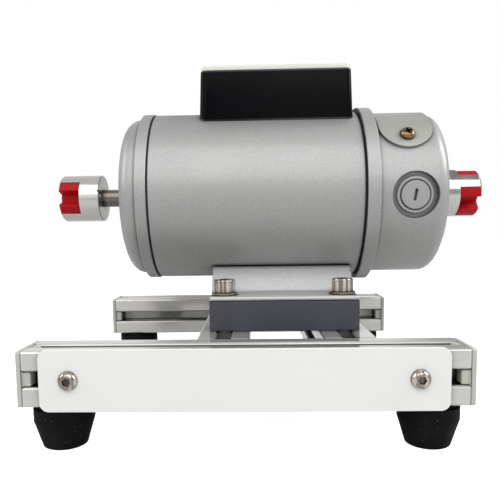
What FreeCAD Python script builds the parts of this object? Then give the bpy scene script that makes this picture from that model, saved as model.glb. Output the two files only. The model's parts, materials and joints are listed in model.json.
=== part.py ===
import FreeCAD, Part
import math
import os

# Series-wound direct-current demonstration motor on a bench frame of slotted aluminium profile.
# Millimetres, +Z up, X along the shaft, drive end at -X, terminal side seen from -Y.
# The pieces are modelled in a bench frame (X = 0 in the middle of the long rails, Y = 0 on the
# front rail's front face, Z = 0 on the table) and are moved at the end, so that the origin is
# under the middle of the whole object.

# Slotted profile
profile_side = 30.0
profile_corner = 1.5
slot_opening = 8.2
slot_lip = 2.2
slot_lip_chamfer = 1.0
slot_inner_width = 16.5
slot_straight = 1.5
slot_floor_width = 9.0
slot_depth = 9.0
core_bore = 6.8
rail_length = 232.0
cross_rail_length = 173.0

# Rail end caps
cap_thickness = 3.0
cap_lug_length = 4.6
cap_lug_recess = 0.8
cap_play = 0.1

# Corner brackets
bracket_leg = 20.8
bracket_width = 20.0
bracket_plate = 4.0
bracket_gusset = 2.5
bracket_screw_place = 15.2

# Rubber feet
rubber_height = 24.5
rubber_diameter = 34.0
rubber_neck_diameter = 29.4
rubber_neck_height = 2.4
rubber_band_height = 10.5
rubber_sole_diameter = 22.0
rubber_well_diameter = 13.0
rubber_well_depth = 12.0

# Front plate
plate_end_gap = 10.0
plate_overlap = 1.5
plate_thickness = 2.0
plate_corner = 5.0
plate_shift = -0.5
plate_drop = 0.3
plate_screw_inset = 15.6

# Fasteners: shank diameter, head diameter, head height, key size
m8_cap = (8.0, 13.0, 8.0, 6.0)
m6_cap = (6.0, 10.0, 6.0, 5.0)
m6_button = (6.0, 10.5, 3.3, 4.0)
m5_button = (5.0, 9.5, 2.75, 3.0)
m5_pan = (5.0, 9.2, 3.2, 0.0)
m4_pan = (4.0, 7.4, 2.6, 0.0)
m6_flat = (6.0, 11.4, 3.2, 4.0)
m3_flat = (3.0, 5.6, 1.7, 0.0)
m8_washer = (8.4, 16.0, 1.6)
m6_washer = (6.4, 12.0, 1.6)
hole_play = 0.4
thread_play = 0.05
sink_play = 0.1
sink_depth = 0.3
head_rim = 0.3
m6_nut_length = 11.5
m8_nut_length = 15.0
nut_play = 0.2
plate_screw_length = 9.0
bracket_screw_length = 11.0
rubber_screw_length = 20.0
foot_screw_length = 29.0

# Risers and motor feet
riser_height = 18.0
riser_depth = 20.0
foot_length = 90.5
foot_plate = 3.0
foot_flange = 18.0
foot_bend_radius = 6.0
foot_lean = 51.0
foot_screw_pitch = 72.5
foot_screw_inset = 10.0
foot_half_span = 64.0
foot_blank_reach = 30.0
weld_gap = 0.05

# Motor position on the bench
motor_x = 24.0
axis_above_risers = 66.0

# Motor housing
body_length = 206.0
yoke_radius = 55.7
yoke_wall = 6.0
yoke_edge = 0.4
gasket_width = 1.0
gasket_depth = 4.5
gasket_recess = 0.5
drive_nose = 12.2
drive_ring = 7.0
drive_ring_radius = 56.3
drive_edge_radius = 10.0
brush_nose = 43.9
brush_ring = 8.0
brush_ring_radius = 58.3
brush_edge_radius = 8.0
nose_radius = 53.0
nose_wall = 5.0
end_wall = 6.0
spigot_length = 4.0
spigot_wall = 3.5
spigot_play = 0.1
boss_radius = 21.0
bearing_lip = 1.7
shaft_hole_radius = 9.0
tie_bolt_radius = 41.0
tie_bolt_angle = 35.0
tie_head_sink = 3.0

# Bearings
bearing_bore = 15.0
bearing_outside = 32.0
bearing_width = 9.0
ball_radius = 2.38
ball_count = 9
ball_pitch_radius = 11.75
race_play = 0.25
inner_race_radius = 10.2
outer_race_radius = 13.3
cage_play = 0.4
cage_width = 5.6
fit_play = 0.02

# Shaft and rotor
shaft_diameter = 12.0
shaft_core_diameter = 17.0
shaft_chamfer = 0.6
drive_shaft_gap = 20.7
brush_shaft_gap = 4.5
core_length = 86.0
core_radius = 33.0
slot_count = 12
armature_slot_width = 5.2
armature_slot_floor = 20.0
armature_tooth_tip = 1.5
armature_mouth = 2.4
winding_play = 0.2
winding_overhang = 14.0
winding_inner_radius = 12.0
winding_outer_radius = 31.2
commutator_radius = 17.0
commutator_length = 18.0
commutator_bars = 24
commutator_groove = 0.7
commutator_groove_depth = 1.2
riser_ring_width = 3.0
riser_ring_radius = 20.0
lead_cone_radius = 15.0

# Field
air_gap = 0.8
shoe_thickness = 5.2
shoe_half_angle = 46.0
pole_width = 26.0
coil_width = 13.5
coil_end_width = 8.0
coil_corner = 9.0
coil_play = 0.5
pole_screw_place = 22.0
pole_screw_length = 14.0

# Brush gear, on an axis turned a little about the shaft
brush_place = 22.0
brush_shift = 3.3
recess_radius = 14.35
recess_floor = 49.0
brush_boss_radius = 15.5
brush_boss_depth = 10.0
holder_radius = 8.5
holder_clear = 4.0
brush_along = 10.0
brush_across = 8.0
brush_length = 19.0
brush_gap = 0.15
brush_play = 0.2
spring_radius = 3.4
spring_wire = 0.8
spring_length = 9.0
cap_radius = 11.1
cap_flange = 2.0
cap_disc_radius = 8.7
cap_disc_height = 0.8
cap_stem_radius = 6.0
cap_slot_width = 1.8
cap_slot_length = 8.2
cap_slot_depth = 1.3
cap_slot_lean = 10.0

# Inspection cover
cover_width = 33.4
cover_middle = 25.3
cover_tongue_angle = 47.0
cover_thickness = 1.5
cover_play = 0.1
window_margin = 6.0
window_half_angle = 35.0
cover_screw_angle = 39.2
cover_screw_length = 9.0

# Terminal box
box_length = 99.0
box_depth = 61.0
box_shift = -2.8
box_top = 78.5
box_corner = 4.0
box_inner_corner = 3.0
box_wall = 3.0
box_draft = 1.1
box_screw_place = 19.0
box_screw_length = 8.0
lead_hole_radius = 3.5
lead_hole_place = 41.8
post_radius = 4.0
post_inset = 7.0
lid_thickness = 3.6
lid_inset = 0.5
lid_screw_length = 10.0
socket_pitch = 19.0
socket_collar_radius = 7.0
socket_collar_height = 2.0
socket_neck_radius = 6.0
socket_bore_radius = 4.0
socket_depth = 15.0
contact_radius = 2.9
contact_bore_radius = 2.0
contact_recess = 1.0
contact_tail_radius = 1.2
contact_tail_length = 2.0
socket_nut_size = 15.0
socket_nut_height = 2.0

# Couplings
jaw_count = 3
hub_radius = 16.0
hub_length = 13.5
hub_chamfer = 0.5
jaw_length = 14.5
jaw_inner_radius = 8.6
jaw_half_angle = 17.6
jaw_end_chamfer = 1.4
leg_half_angle = 12.0
leg_radius = 15.8
leg_corner = 1.7
spider_ring_radius = 8.2
spider_bore_radius = 5.0
spider_play = 0.3
key_side = 4.0
key_length = 11.0
key_depth = 2.5
key_play = 0.1
grub_diameter = 5.0
grub_sink = 1.0
mark_width = 1.2
mark_depth = 1.0
mark_angle = 17.0
drive_jaw_angle = 60.0
brush_jaw_angle = 30.0

# How far a cutting tool runs past a face, a little and well clear
past = 1.0
well_past = 5.0

# Places worked out from the sizes above
rail_top = rubber_height + profile_side
rail_middle = rubber_height + profile_side / 2
rubber_x = rail_length / 2 - rubber_diameter / 2
plate_length = rail_length - 2 * plate_end_gap
plate_height = profile_side + 2 * plate_overlap
plate_screw_x = plate_length / 2 - plate_screw_inset
frame_depth = 2 * profile_side + cross_rail_length
riser_top = rail_top + riser_height
axis_y = frame_depth / 2
axis_z = riser_top + axis_above_risers
foot_front_y = axis_y - foot_half_span
foot_screw_y = foot_half_span - foot_screw_inset
cross_rail_places = (motor_x - foot_screw_pitch / 2, motor_x + foot_screw_pitch / 2)
body_end = body_length / 2
yoke_start = -body_end + drive_nose + drive_ring + gasket_width
yoke_end = body_end - brush_nose - brush_ring - gasket_width
yoke_bore = yoke_radius - yoke_wall
core_middle = (yoke_start + yoke_end) / 2
core_start = core_middle - core_length / 2
core_end = core_middle + core_length / 2
brush_x = body_end - brush_place
bearing_start = body_end - bearing_lip - bearing_width
bearing_end = body_end - bearing_lip
commutator_start = brush_x - commutator_length / 2
commutator_end = brush_x + commutator_length / 2
shaft_radius = shaft_diameter / 2
drive_hub_face = -body_end - drive_shaft_gap
brush_hub_face = body_end + brush_shaft_gap
drive_tip = drive_hub_face - hub_length - jaw_length
brush_tip = brush_hub_face + hub_length + jaw_length
leg_count = 2 * jaw_count
origin_x = motor_x + (drive_tip + brush_tip) / 2
front_edge = -plate_thickness - m6_button[2]
rear_edge = frame_depth - profile_side / 2 + rubber_diameter / 2
origin_y = (front_edge + rear_edge) / 2

x_axis = FreeCAD.Vector(1, 0, 0)
y_axis = FreeCAD.Vector(0, 1, 0)
z_axis = FreeCAD.Vector(0, 0, 1)
centre = FreeCAD.Vector(0, 0, 0)


def vector(x, y, z):
    return FreeCAD.Vector(x, y, z)


def moved(shape, x, y, z):
    copy = shape.copy()
    copy.translate(vector(x, y, z))
    return copy


def turned_about(shape, axis, degrees, point=centre):
    copy = shape.copy()
    copy.rotate(point, axis, degrees)
    return copy


def block(x0, x1, y0, y1, z0, z1):
    return Part.makeBox(x1 - x0, y1 - y0, z1 - z0, vector(x0, y0, z0))


def rod(radius, start, end, x=0.0, y=0.0):
    """Upright round bar from z = start to z = end."""
    return Part.makeCylinder(radius, end - start, vector(x, y, start))


def axial_rod(radius, start, end, y=0.0, z=0.0):
    """Round bar along X."""
    return Part.makeCylinder(radius, end - start, vector(start, y, z), x_axis)


def lathe(points, axis=x_axis):
    """Turn a closed outline of (along, radius) points about X or Z."""
    if axis == x_axis:
        corners = [vector(along, 0, radius) for along, radius in points]
    else:
        corners = [vector(radius, 0, along) for along, radius in points]
    outline = Part.makePolygon(corners + corners[:1])
    return Part.Face(outline).revolve(centre, axis, 360)


def tube(inner, outer, start, end):
    return lathe([(start, inner), (end, inner), (end, outer), (start, outer)])


def prism(corners, length):
    """Extrude a closed outline of vectors along X."""
    outline = Part.makePolygon(corners + corners[:1])
    return Part.Face(outline).extrude(vector(length, 0, 0))


def rounded_outline(length, depth, radius, z):
    """Closed rectangle with round corners, about the Z axis at height z."""
    half_x = length / 2
    half_y = depth / 2
    edges = []
    for quarter in range(4):
        flat_x, flat_y = (half_x, half_y) if quarter % 2 == 0 else (half_y, half_x)
        turn = FreeCAD.Rotation(z_axis, 90 * quarter)
        low = vector(flat_x, radius - flat_y, z)
        high = vector(flat_x, flat_y - radius, z)
        bend = radius * (1 - math.cos(math.pi / 4))
        middle = vector(flat_x - bend, flat_y - bend, z)
        end = vector(flat_x - radius, flat_y, z)
        edges.append(Part.makeLine(turn.multVec(low), turn.multVec(high)))
        arc = Part.Arc(turn.multVec(high), turn.multVec(middle), turn.multVec(end))
        edges.append(arc.toShape())
    return Part.Wire(edges)


def rounded_block(length, depth, radius, z0, z1):
    outline = rounded_outline(length, depth, radius, z0)
    return Part.Face(outline).extrude(vector(0, 0, z1 - z0))


def union(shapes):
    return shapes[0].multiFuse(shapes[1:]).removeSplitter()


def around_shaft(shape, count, start=0.0):
    step = 360.0 / count
    return [turned_about(shape, x_axis, start + step * index) for index in range(count)]


def aimed(shape, point, direction):
    """Carry a piece made about +Z at the origin to a point, its top towards direction."""
    copy = shape.copy()
    copy.Placement = FreeCAD.Placement(point, FreeCAD.Rotation(z_axis, direction))
    return copy


# Fasteners, each with its bearing face at z = 0, its head above and its shank below

def hex_socket(size, top, depth):
    radius = size / math.sqrt(3)
    corners = [
        vector(
            radius * math.cos(math.radians(60 * side)),
            radius * math.sin(math.radians(60 * side)),
            top - depth,
        )
        for side in range(6)
    ]
    outline = Part.makePolygon(corners + corners[:1])
    return Part.Face(outline).extrude(vector(0, 0, depth + past))


def cap_screw(size, length):
    shank, head, height, key = size
    edge = 0.08 * head
    profile = [
        (-length, 0),
        (-length, shank / 2),
        (0, shank / 2),
        (0, head / 2),
        (height - edge, head / 2),
        (height, head / 2 - edge),
        (height, 0),
    ]
    return lathe(profile, z_axis).cut(hex_socket(key, height, height / 2))


def dome_screw(size, length):
    """Button or pan head: a shank and a shallow dome of three cones with a short flat top."""
    shank, head, height, key = size
    profile = [
        (-length, 0),
        (-length, shank / 2),
        (0, shank / 2),
        (0, head / 2),
        (0.25 * height, head / 2),
        (0.55 * height, 0.455 * head),
        (0.80 * height, 0.36 * head),
        (height, 0.22 * head),
        (height, 0),
    ]
    screw = lathe(profile, z_axis)
    if key:
        screw = screw.cut(hex_socket(key, height, 0.6 * height))
    return screw


def flat_screw(size, length):
    """Countersunk screw, flush at z = 0."""
    shank, head, height, key = size
    profile = [
        (-length, 0),
        (-length, shank / 2),
        (-height, shank / 2),
        (-head_rim, head / 2),
        (0, head / 2),
        (0, 0),
    ]
    screw = lathe(profile, z_axis)
    if key:
        screw = screw.cut(hex_socket(key, 0, 0.6 * height))
    return screw


def flat_sink(size, below, length):
    """Cutter for a countersunk screw whose top lies a little below the surface at z = 0."""
    shank, head, height, _ = size
    hole = shank / 2 + sink_play
    mouth = head / 2 + sink_play
    profile = [
        (-length, 0),
        (-length, hole),
        (-height - below, hole),
        (-head_rim - below, mouth),
        (1, mouth),
        (1, 0),
    ]
    return lathe(profile, z_axis)


def washer(size):
    bore, outside, height = size
    return rod(outside / 2, 0, height).cut(rod(bore / 2, -past, height + past))


def slot_outline(shrink, lip_top, floor):
    """Half-outline of the profile's slot as (across, height) from the middle of the profile."""
    half = profile_side / 2
    return [
        (slot_opening / 2 - shrink, lip_top),
        (slot_opening / 2 - shrink, half - slot_lip),
        (slot_inner_width / 2 - shrink, half - slot_lip),
        (slot_inner_width / 2 - shrink, half - slot_lip - slot_straight),
        (slot_floor_width / 2 - shrink, floor),
    ]


def mirrored(half_outline):
    return half_outline + [(-across, height) for across, height in reversed(half_outline)]


def slot_nut(size, length):
    """Sliding nut for a slot along X that opens to +Z, with z = 0 on the profile's face."""
    half = profile_side / 2
    outline = slot_outline(nut_play, half - nut_play, half - slot_depth + 2 * nut_play)
    corners = [
        vector(-length / 2, across, height - half)
        for across, height in mirrored(outline)
    ]
    nut = prism(corners, length)
    return nut.cut(rod(size[0] / 2 + thread_play, -slot_depth, past))


# Bench frame

def profile_rail(length):
    """Slotted profile along X, in the middle of the Y-Z plane."""
    half = profile_side / 2
    side = block(-length / 2, length / 2, -half, half, -half, half)
    long_edges = [edge for edge in side.Edges if abs(edge.Length - length) < 0.01]
    side = side.makeFillet(profile_corner, long_edges)
    lead_in = [(slot_opening / 2 + slot_lip_chamfer, half)]
    lead_in.append((slot_opening / 2, half - slot_lip_chamfer))
    outline = lead_in + slot_outline(0, half - slot_lip_chamfer, half - slot_depth)[1:]
    corners = [vector(-length / 2, across, height) for across, height in mirrored(outline)]
    slot = prism(corners, length)
    slots = around_shaft(slot, 4)
    return side.cut(Part.Compound(slots + [axial_rod(core_bore / 2, -length / 2, length / 2)]))


def rail_cap():
    """End cap for the +X end: a plate with a lug in each slot and a plug in the core bore."""
    half = profile_side / 2
    plate = block(0, cap_thickness, -half, half, -half, half)
    corner_edges = [edge for edge in plate.Edges if abs(edge.Length - cap_thickness) < 0.01]
    plate = plate.makeFillet(profile_corner, corner_edges)
    across = slot_opening / 2 - cap_play
    low = half - slot_depth + 3 * cap_play
    lug = block(-cap_lug_length, 0, -across, across, low, half - cap_lug_recess)
    plug = axial_rod(core_bore / 2 - cap_play, -2 * cap_lug_length, 0)
    return union([plate, plug] + around_shaft(lug, 4))


def corner_bracket():
    """Bracket in the corner x = 0, y = 0 with legs along +X and +Y, about z = 0."""
    low = -bracket_width / 2
    high = bracket_width / 2
    legs = [
        block(0, bracket_leg, 0, bracket_plate, low, high),
        block(0, bracket_plate, 0, bracket_leg, low, high),
    ]
    inside = bracket_plate - 0.5
    tips = [
        vector(inside, inside, low),
        vector(bracket_leg, inside, low),
        vector(inside, bracket_leg, low),
    ]
    gusset = Part.Face(Part.makePolygon(tips + tips[:1])).extrude(vector(0, 0, bracket_gusset))
    upper = moved(gusset, 0, 0, bracket_width - bracket_gusset)
    holes = []
    for axis in (x_axis, y_axis):
        place = vector(bracket_screw_place, -1, 0) if axis == y_axis else vector(-1, bracket_screw_place, 0)
        radius = (m6_cap[0] + hole_play) / 2
        holes.append(Part.makeCylinder(radius, bracket_plate + 2, place, axis))
    return union(legs + [gusset, upper]).cut(Part.Compound(holes))


def bench_frame():
    half = profile_side / 2
    rail = profile_rail(rail_length)
    rear_y = frame_depth - half
    pieces = {
        "front_rail": moved(rail, 0, half, rail_middle),
        "rear_rail": moved(rail, 0, rear_y, rail_middle),
    }
    cross = turned_about(profile_rail(cross_rail_length), z_axis, 90)
    for name, place in zip(("left_cross_rail", "right_cross_rail"), cross_rail_places):
        pieces[name] = moved(cross, place, frame_depth / 2, rail_middle)
    caps = []
    for y in (half, rear_y):
        right = moved(rail_cap(), rail_length / 2, y, rail_middle)
        caps.append(right)
        caps.append(turned_about(right, z_axis, 180, vector(0, y, rail_middle)))
    pieces["rail_end_caps"] = caps
    return pieces


def bracket_corner():
    """One bracket with its two screws and the nuts in the slots behind its legs."""
    screw = cap_screw(m6_cap, bracket_screw_length)
    nut = slot_nut(m6_cap, m6_nut_length)
    along = bracket_screw_place
    screws = [
        aimed(screw, vector(along, bracket_plate, 0), y_axis),
        aimed(screw, vector(bracket_plate, along, 0), x_axis),
    ]
    side_nut = turned_about(turned_about(nut, z_axis, 90), y_axis, 90)
    nuts = [moved(turned_about(nut, x_axis, -90), along, 0, 0), moved(side_nut, 0, along, 0)]
    return {"corner_brackets": [corner_bracket()], "bracket_screws": screws, "slot_nuts_m6": nuts}


def bracket_set():
    """Brackets in the four inner corners between the cross rails."""
    left = cross_rail_places[0] + profile_side / 2
    right = cross_rail_places[1] - profile_side / 2
    front = profile_side
    rear = frame_depth - profile_side
    corners = [(left, front), (right, front), (right, rear), (left, rear)]
    pieces = {"corner_brackets": [], "bracket_screws": [], "slot_nuts_m6": []}
    for quarter, (x, y) in enumerate(corners):
        for name, shapes in bracket_corner().items():
            for shape in shapes:
                turned = turned_about(shape, z_axis, 90 * quarter)
                pieces[name].append(moved(turned, x, y, rail_middle))
    return pieces


def front_plate():
    """Bare plate on the front rail, with its button-head screws and slot nuts."""
    upright = rounded_block(plate_length, plate_height, plate_corner, 0, plate_thickness)
    screws = []
    nuts = []
    screw = dome_screw(m6_button, plate_screw_length)
    nut = turned_about(slot_nut(m6_button, m6_nut_length), x_axis, 90)
    for side in (-1, 1):
        x = side * plate_screw_x
        hole = rod((m6_button[0] + hole_play) / 2, -past, plate_thickness + past, x, plate_drop)
        upright = upright.cut(hole)
        place = vector(plate_shift + x, -plate_thickness, rail_middle)
        screws.append(aimed(screw, place, vector(0, -1, 0)))
        nuts.append(moved(nut, plate_shift + x, 0, rail_middle))
    plate = turned_about(upright, x_axis, 90)
    plate = moved(plate, plate_shift, 0, rail_middle - plate_drop)
    return {"front_plate": plate, "plate_screws": screws, "slot_nuts_m6": nuts}


def rubber_foot():
    """Rubber foot: a neck, a cylindrical band, a taper to the sole, and a well for its screw."""
    radius = rubber_diameter / 2
    band_top = rubber_height - rubber_neck_height
    band_low = band_top - rubber_band_height
    hole = (m6_cap[0] + hole_play) / 2
    profile = [
        (rubber_height, hole),
        (rubber_height, rubber_neck_diameter / 2),
        (band_top, rubber_neck_diameter / 2),
        (band_top, radius),
        (band_low, radius),
        (0, rubber_sole_diameter / 2),
        (0, rubber_well_diameter / 2),
        (rubber_well_depth, rubber_well_diameter / 2),
        (rubber_well_depth, hole),
    ]
    return lathe(profile, z_axis)


def rubber_feet():
    half = profile_side / 2
    pieces = {"rubber_feet": [], "rubber_foot_screws": [], "rubber_foot_washers": [], "slot_nuts_m6": []}
    down = vector(0, 0, -1)
    screw = cap_screw(m6_cap, rubber_screw_length)
    nut = turned_about(slot_nut(m6_cap, m6_nut_length), x_axis, 180)
    seat = rubber_well_depth - m6_washer[2]
    for y in (half, frame_depth - half):
        for x in (-rubber_x, rubber_x):
            pieces["rubber_feet"].append(moved(rubber_foot(), x, y, 0))
            pieces["rubber_foot_washers"].append(moved(washer(m6_washer), x, y, seat))
            pieces["rubber_foot_screws"].append(aimed(screw, vector(x, y, seat), down))
            pieces["slot_nuts_m6"].append(moved(nut, x, y, rubber_height))
    return pieces


# Motor feet

def motor_foot():
    """Bent foot along X with its flange towards -Y, made about the shaft's axis."""
    base = -axis_above_risers
    middle = base + foot_plate / 2
    lean = math.radians(foot_lean)
    toe = -foot_half_span
    heel = toe + foot_flange
    inner = foot_bend_radius - foot_plate / 2
    outer = foot_bend_radius + foot_plate / 2
    bend_z = middle + foot_bend_radius
    def on_bend(radius, angle):
        return vector(0, heel + radius * math.sin(angle), bend_z - radius * math.cos(angle))

    rise = vector(0, math.cos(lean), math.sin(lean)) * foot_blank_reach
    corners = [
        on_bend(outer, lean) + rise,
        on_bend(inner, lean) + rise,
        on_bend(inner, lean),
    ]
    upper = Part.Arc(on_bend(inner, lean), on_bend(inner, lean / 2), on_bend(inner, 0))
    top = [on_bend(inner, 0), vector(0, toe, base + foot_plate)]
    bottom = [vector(0, toe, base), on_bend(outer, 0)]
    lower = Part.Arc(on_bend(outer, 0), on_bend(outer, lean / 2), on_bend(outer, lean))
    edges = Part.makePolygon(corners).Edges + [upper.toShape()]
    edges += Part.makePolygon(top + bottom).Edges + [lower.toShape()]
    edges.append(Part.makeLine(on_bend(outer, lean), corners[0]))
    face = Part.Face(Part.Wire(edges))
    foot = face.extrude(vector(foot_length, 0, 0))
    foot = moved(foot, -foot_length / 2, 0, 0)
    foot = foot.cut(axial_rod(yoke_radius + weld_gap, -foot_length, foot_length))
    for x in (-foot_screw_pitch / 2, foot_screw_pitch / 2):
        radius = (m8_cap[0] + hole_play) / 2
        foot = foot.cut(rod(radius, base - past, base + foot_plate + past, x, -foot_screw_y))
    return foot


def riser_bar():
    """Bar under a motor foot, drilled for the foot's screws."""
    base = -axis_above_risers
    start = -foot_half_span
    bar = block(-foot_length / 2, foot_length / 2, start, start + riser_depth, base - riser_height, base)
    for x in (-foot_screw_pitch / 2, foot_screw_pitch / 2):
        radius = (m8_cap[0] + hole_play) / 2
        bar = bar.cut(rod(radius, base - riser_height - past, base + past, x, -foot_screw_y))
    return bar


def motor_mounting():
    base = -axis_above_risers
    head_seat = base + foot_plate + m8_washer[2]
    pieces = {"foot_screws": [], "foot_washers": [], "slot_nuts_m8": []}
    screw = cap_screw(m8_cap, foot_screw_length)
    nut = turned_about(slot_nut(m8_cap, m8_nut_length), z_axis, 90)
    for row, turn in (("front", 0), ("rear", 180)):
        pieces["motor_foot_" + row] = turned_about(motor_foot(), z_axis, turn)
        pieces["riser_" + row] = turned_about(riser_bar(), z_axis, turn)
    for x in (-foot_screw_pitch / 2, foot_screw_pitch / 2):
        for y in (-foot_screw_y, foot_screw_y):
            pieces["foot_screws"].append(moved(screw, x, y, head_seat))
            pieces["foot_washers"].append(moved(washer(m8_washer), x, y, base + foot_plate))
            pieces["slot_nuts_m8"].append(moved(nut, x, y, base - riser_height))
    return pieces


# Housing, about the shaft's axis

def tie_bolt_places():
    places = []
    for angle in (tie_bolt_angle, 180 - tie_bolt_angle, 180 + tie_bolt_angle, -tie_bolt_angle):
        turn = math.radians(angle)
        places.append((tie_bolt_radius * math.cos(turn), tie_bolt_radius * math.sin(turn)))
    return places


def housing_yoke():
    yoke = lathe([
        (yoke_start, yoke_bore),
        (yoke_end, yoke_bore),
        (yoke_end, yoke_radius - yoke_edge),
        (yoke_end - yoke_edge, yoke_radius),
        (yoke_start + yoke_edge, yoke_radius),
        (yoke_start, yoke_radius - yoke_edge),
    ])
    lead_x = box_shift + lead_hole_place
    cuts = [rod(lead_hole_radius, yoke_bore - 2 * past, yoke_radius + 2 * past, lead_x, 0)]
    sink = flat_sink(m6_flat, sink_depth, yoke_wall + 2 * past)
    for x in (-pole_screw_place, pole_screw_place):
        for way in (1, -1):
            place = vector(core_middle + x, 0, way * yoke_radius)
            cuts.append(aimed(sink, place, vector(0, 0, way)))
    for x in (-box_screw_place, box_screw_place):
        radius = m4_pan[0] / 2 + thread_play
        cuts.append(rod(radius, yoke_bore - past, yoke_radius + past, box_shift + x, 0))
    return yoke.cut(Part.Compound(cuts))


def bearing_seat(inner_end):
    """Space of a bearing and the shaft's hole in an end wall towards +X."""
    seat = axial_rod(bearing_outside / 2 + fit_play, inner_end, bearing_end)
    return union([seat, axial_rod(shaft_hole_radius, inner_end, body_end + past)])


def bell_shell(nose, ring, ring_radius, edge_radius):
    """Bell towards +X: spigot, clamped ring, nose with a rounded edge, end wall and boss."""
    ring_start = body_end - nose - ring
    spigot_start = ring_start - gasket_width - spigot_length
    spigot = yoke_bore - spigot_play
    inside = nose_radius - nose_wall
    body = lathe([
        (spigot_start, spigot - spigot_wall),
        (spigot_start, spigot),
        (ring_start, spigot),
        (ring_start, ring_radius - yoke_edge),
        (ring_start + yoke_edge, ring_radius),
        (body_end - nose - yoke_edge, ring_radius),
        (body_end - nose, ring_radius - yoke_edge),
        (body_end - nose, nose_radius),
        (body_end, nose_radius),
        (body_end, 0),
        (body_end - end_wall, 0),
        (body_end - end_wall, spigot - spigot_wall),
    ])
    outer_edge = [
        edge for edge in body.Edges
        if abs(edge.BoundBox.XMin - body_end) < 0.01 and abs(edge.Length - 2 * math.pi * nose_radius) < 1
    ]
    body = body.makeFillet(edge_radius, outer_edge)
    hollow_start = body_end - nose
    if body_end - end_wall - hollow_start > nose_wall + 2:
        body = body.cut(axial_rod(inside, hollow_start, body_end - end_wall))
    boss = axial_rod(boss_radius, bearing_start, body_end - end_wall + past)
    return union([body, boss]).cut(bearing_seat(spigot_start))


def drive_end_bell():
    bell = bell_shell(drive_nose, drive_ring, drive_ring_radius, drive_edge_radius)
    holes = [
        axial_rod(m5_button[0] / 2 + thread_play, body_end - end_wall - past, body_end + past, y, z)
        for y, z in tie_bolt_places()
    ]
    return turned_about(bell.cut(Part.Compound(holes)), z_axis, 180)


def brush_axis_piece(shape, front):
    """Carry a piece made about +Z at x = 0 to the front or rear brush's axis."""
    angle = 90 + brush_shift if front else brush_shift - 90
    return moved(turned_about(shape, x_axis, angle), brush_x, 0, 0)


def cover_screw_axis(front):
    turn = math.radians(cover_screw_angle)
    way = -1 if front else 1
    return vector(0, way * math.cos(turn), math.sin(turn))


def commutator_end_bell():
    bell = bell_shell(brush_nose, brush_ring, brush_ring_radius, brush_edge_radius)
    skin = axial_rod(nose_radius, brush_x - cover_width, body_end - end_wall)
    window_start = cover_middle - body_end
    cuts = []
    for front in (True, False):
        boss = rod(brush_boss_radius, recess_floor - brush_boss_depth, nose_radius + past)
        bell = bell.fuse(brush_axis_piece(boss, front).common(skin))
        recess = rod(recess_radius, recess_floor, nose_radius + well_past)
        bore_low = recess_floor - brush_boss_depth - 2 * past
        bore = rod(holder_radius + fit_play, bore_low, recess_floor + past)
        cuts.append(brush_axis_piece(union([recess, bore]), front))
        tap_low = nose_radius - nose_wall - 2 * past
        tap = rod(m5_pan[0] / 2 + thread_play, tap_low, nose_radius + 2 * past)
        place = vector(body_end - cover_middle, 0, 0)
        cuts.append(aimed(tap, place, cover_screw_axis(front)))
    half_window = cover_width / 2 - window_margin
    window_x = body_end - cover_middle
    reach = nose_radius + well_past
    wedge = pie(window_half_angle, reach, window_x - half_window, window_x + half_window)
    cuts.append(wedge.cut(axial_rod(nose_radius - nose_wall - 3, window_start, body_end)))
    for y, z in tie_bolt_places():
        radius = (m5_button[0] + hole_play) / 2
        cuts.append(axial_rod(radius, body_end - end_wall - past, body_end + past, y, z))
        sink = (m5_button[1] + hole_play) / 2
        cuts.append(axial_rod(sink, body_end - tie_head_sink, body_end + past, y, z))
    return bell.cut(Part.Compound(cuts)).removeSplitter()


def pie(half_angle, radius, start, end, up=90.0):
    """Wedge about the X axis, open from the axis outwards, its middle at the angle up from +Y."""
    low = math.radians(up - half_angle)
    high = math.radians(up + half_angle)
    reach = radius / math.cos((high - low) / 4)
    middle = (low + high) / 2
    corners = [vector(start, 0, 0)]
    for angle in (low, middle, high):
        corners.append(vector(start, reach * math.cos(angle) * 1.2, reach * math.sin(angle) * 1.2))
    return prism(corners, end - start).common(axial_rod(radius, start, end))


def bell_gaskets():
    outer = yoke_radius - gasket_recess
    inner = yoke_radius - gasket_depth
    width = gasket_width
    drive = tube(inner, outer, yoke_start - width, yoke_start)
    brush = tube(inner, outer, yoke_end, yoke_end + width)
    return [drive, brush]


def tie_bolts():
    bolts = []
    length = body_length - tie_head_sink - 0.5
    bolt = dome_screw(m5_button, length)
    for y, z in tie_bolt_places():
        bolts.append(aimed(bolt, vector(body_end - tie_head_sink, y, z), x_axis))
    return bolts


# Field magnets

def pole_piece():
    """Pole with a curved shoe, towards +Z."""
    shoe_radius = core_radius + air_gap
    half = core_length / 2
    start = core_middle - half
    body = block(start, start + core_length, -pole_width / 2, pole_width / 2, shoe_radius, yoke_radius)
    ring = tube(shoe_radius, shoe_radius + shoe_thickness, start, start + core_length)
    shoe = ring.common(pie(shoe_half_angle, yoke_radius, start, start + core_length))
    pole = union([body, shoe]).common(axial_rod(yoke_bore - thread_play, start, start + core_length))
    pole = pole.cut(axial_rod(shoe_radius, start, start + core_length))
    depth = yoke_radius - pole_screw_length
    for x in (-pole_screw_place, pole_screw_place):
        radius = m6_flat[0] / 2 + thread_play
        pole = pole.cut(rod(radius, depth - past, yoke_radius, core_middle + x, 0))
    return pole


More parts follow.
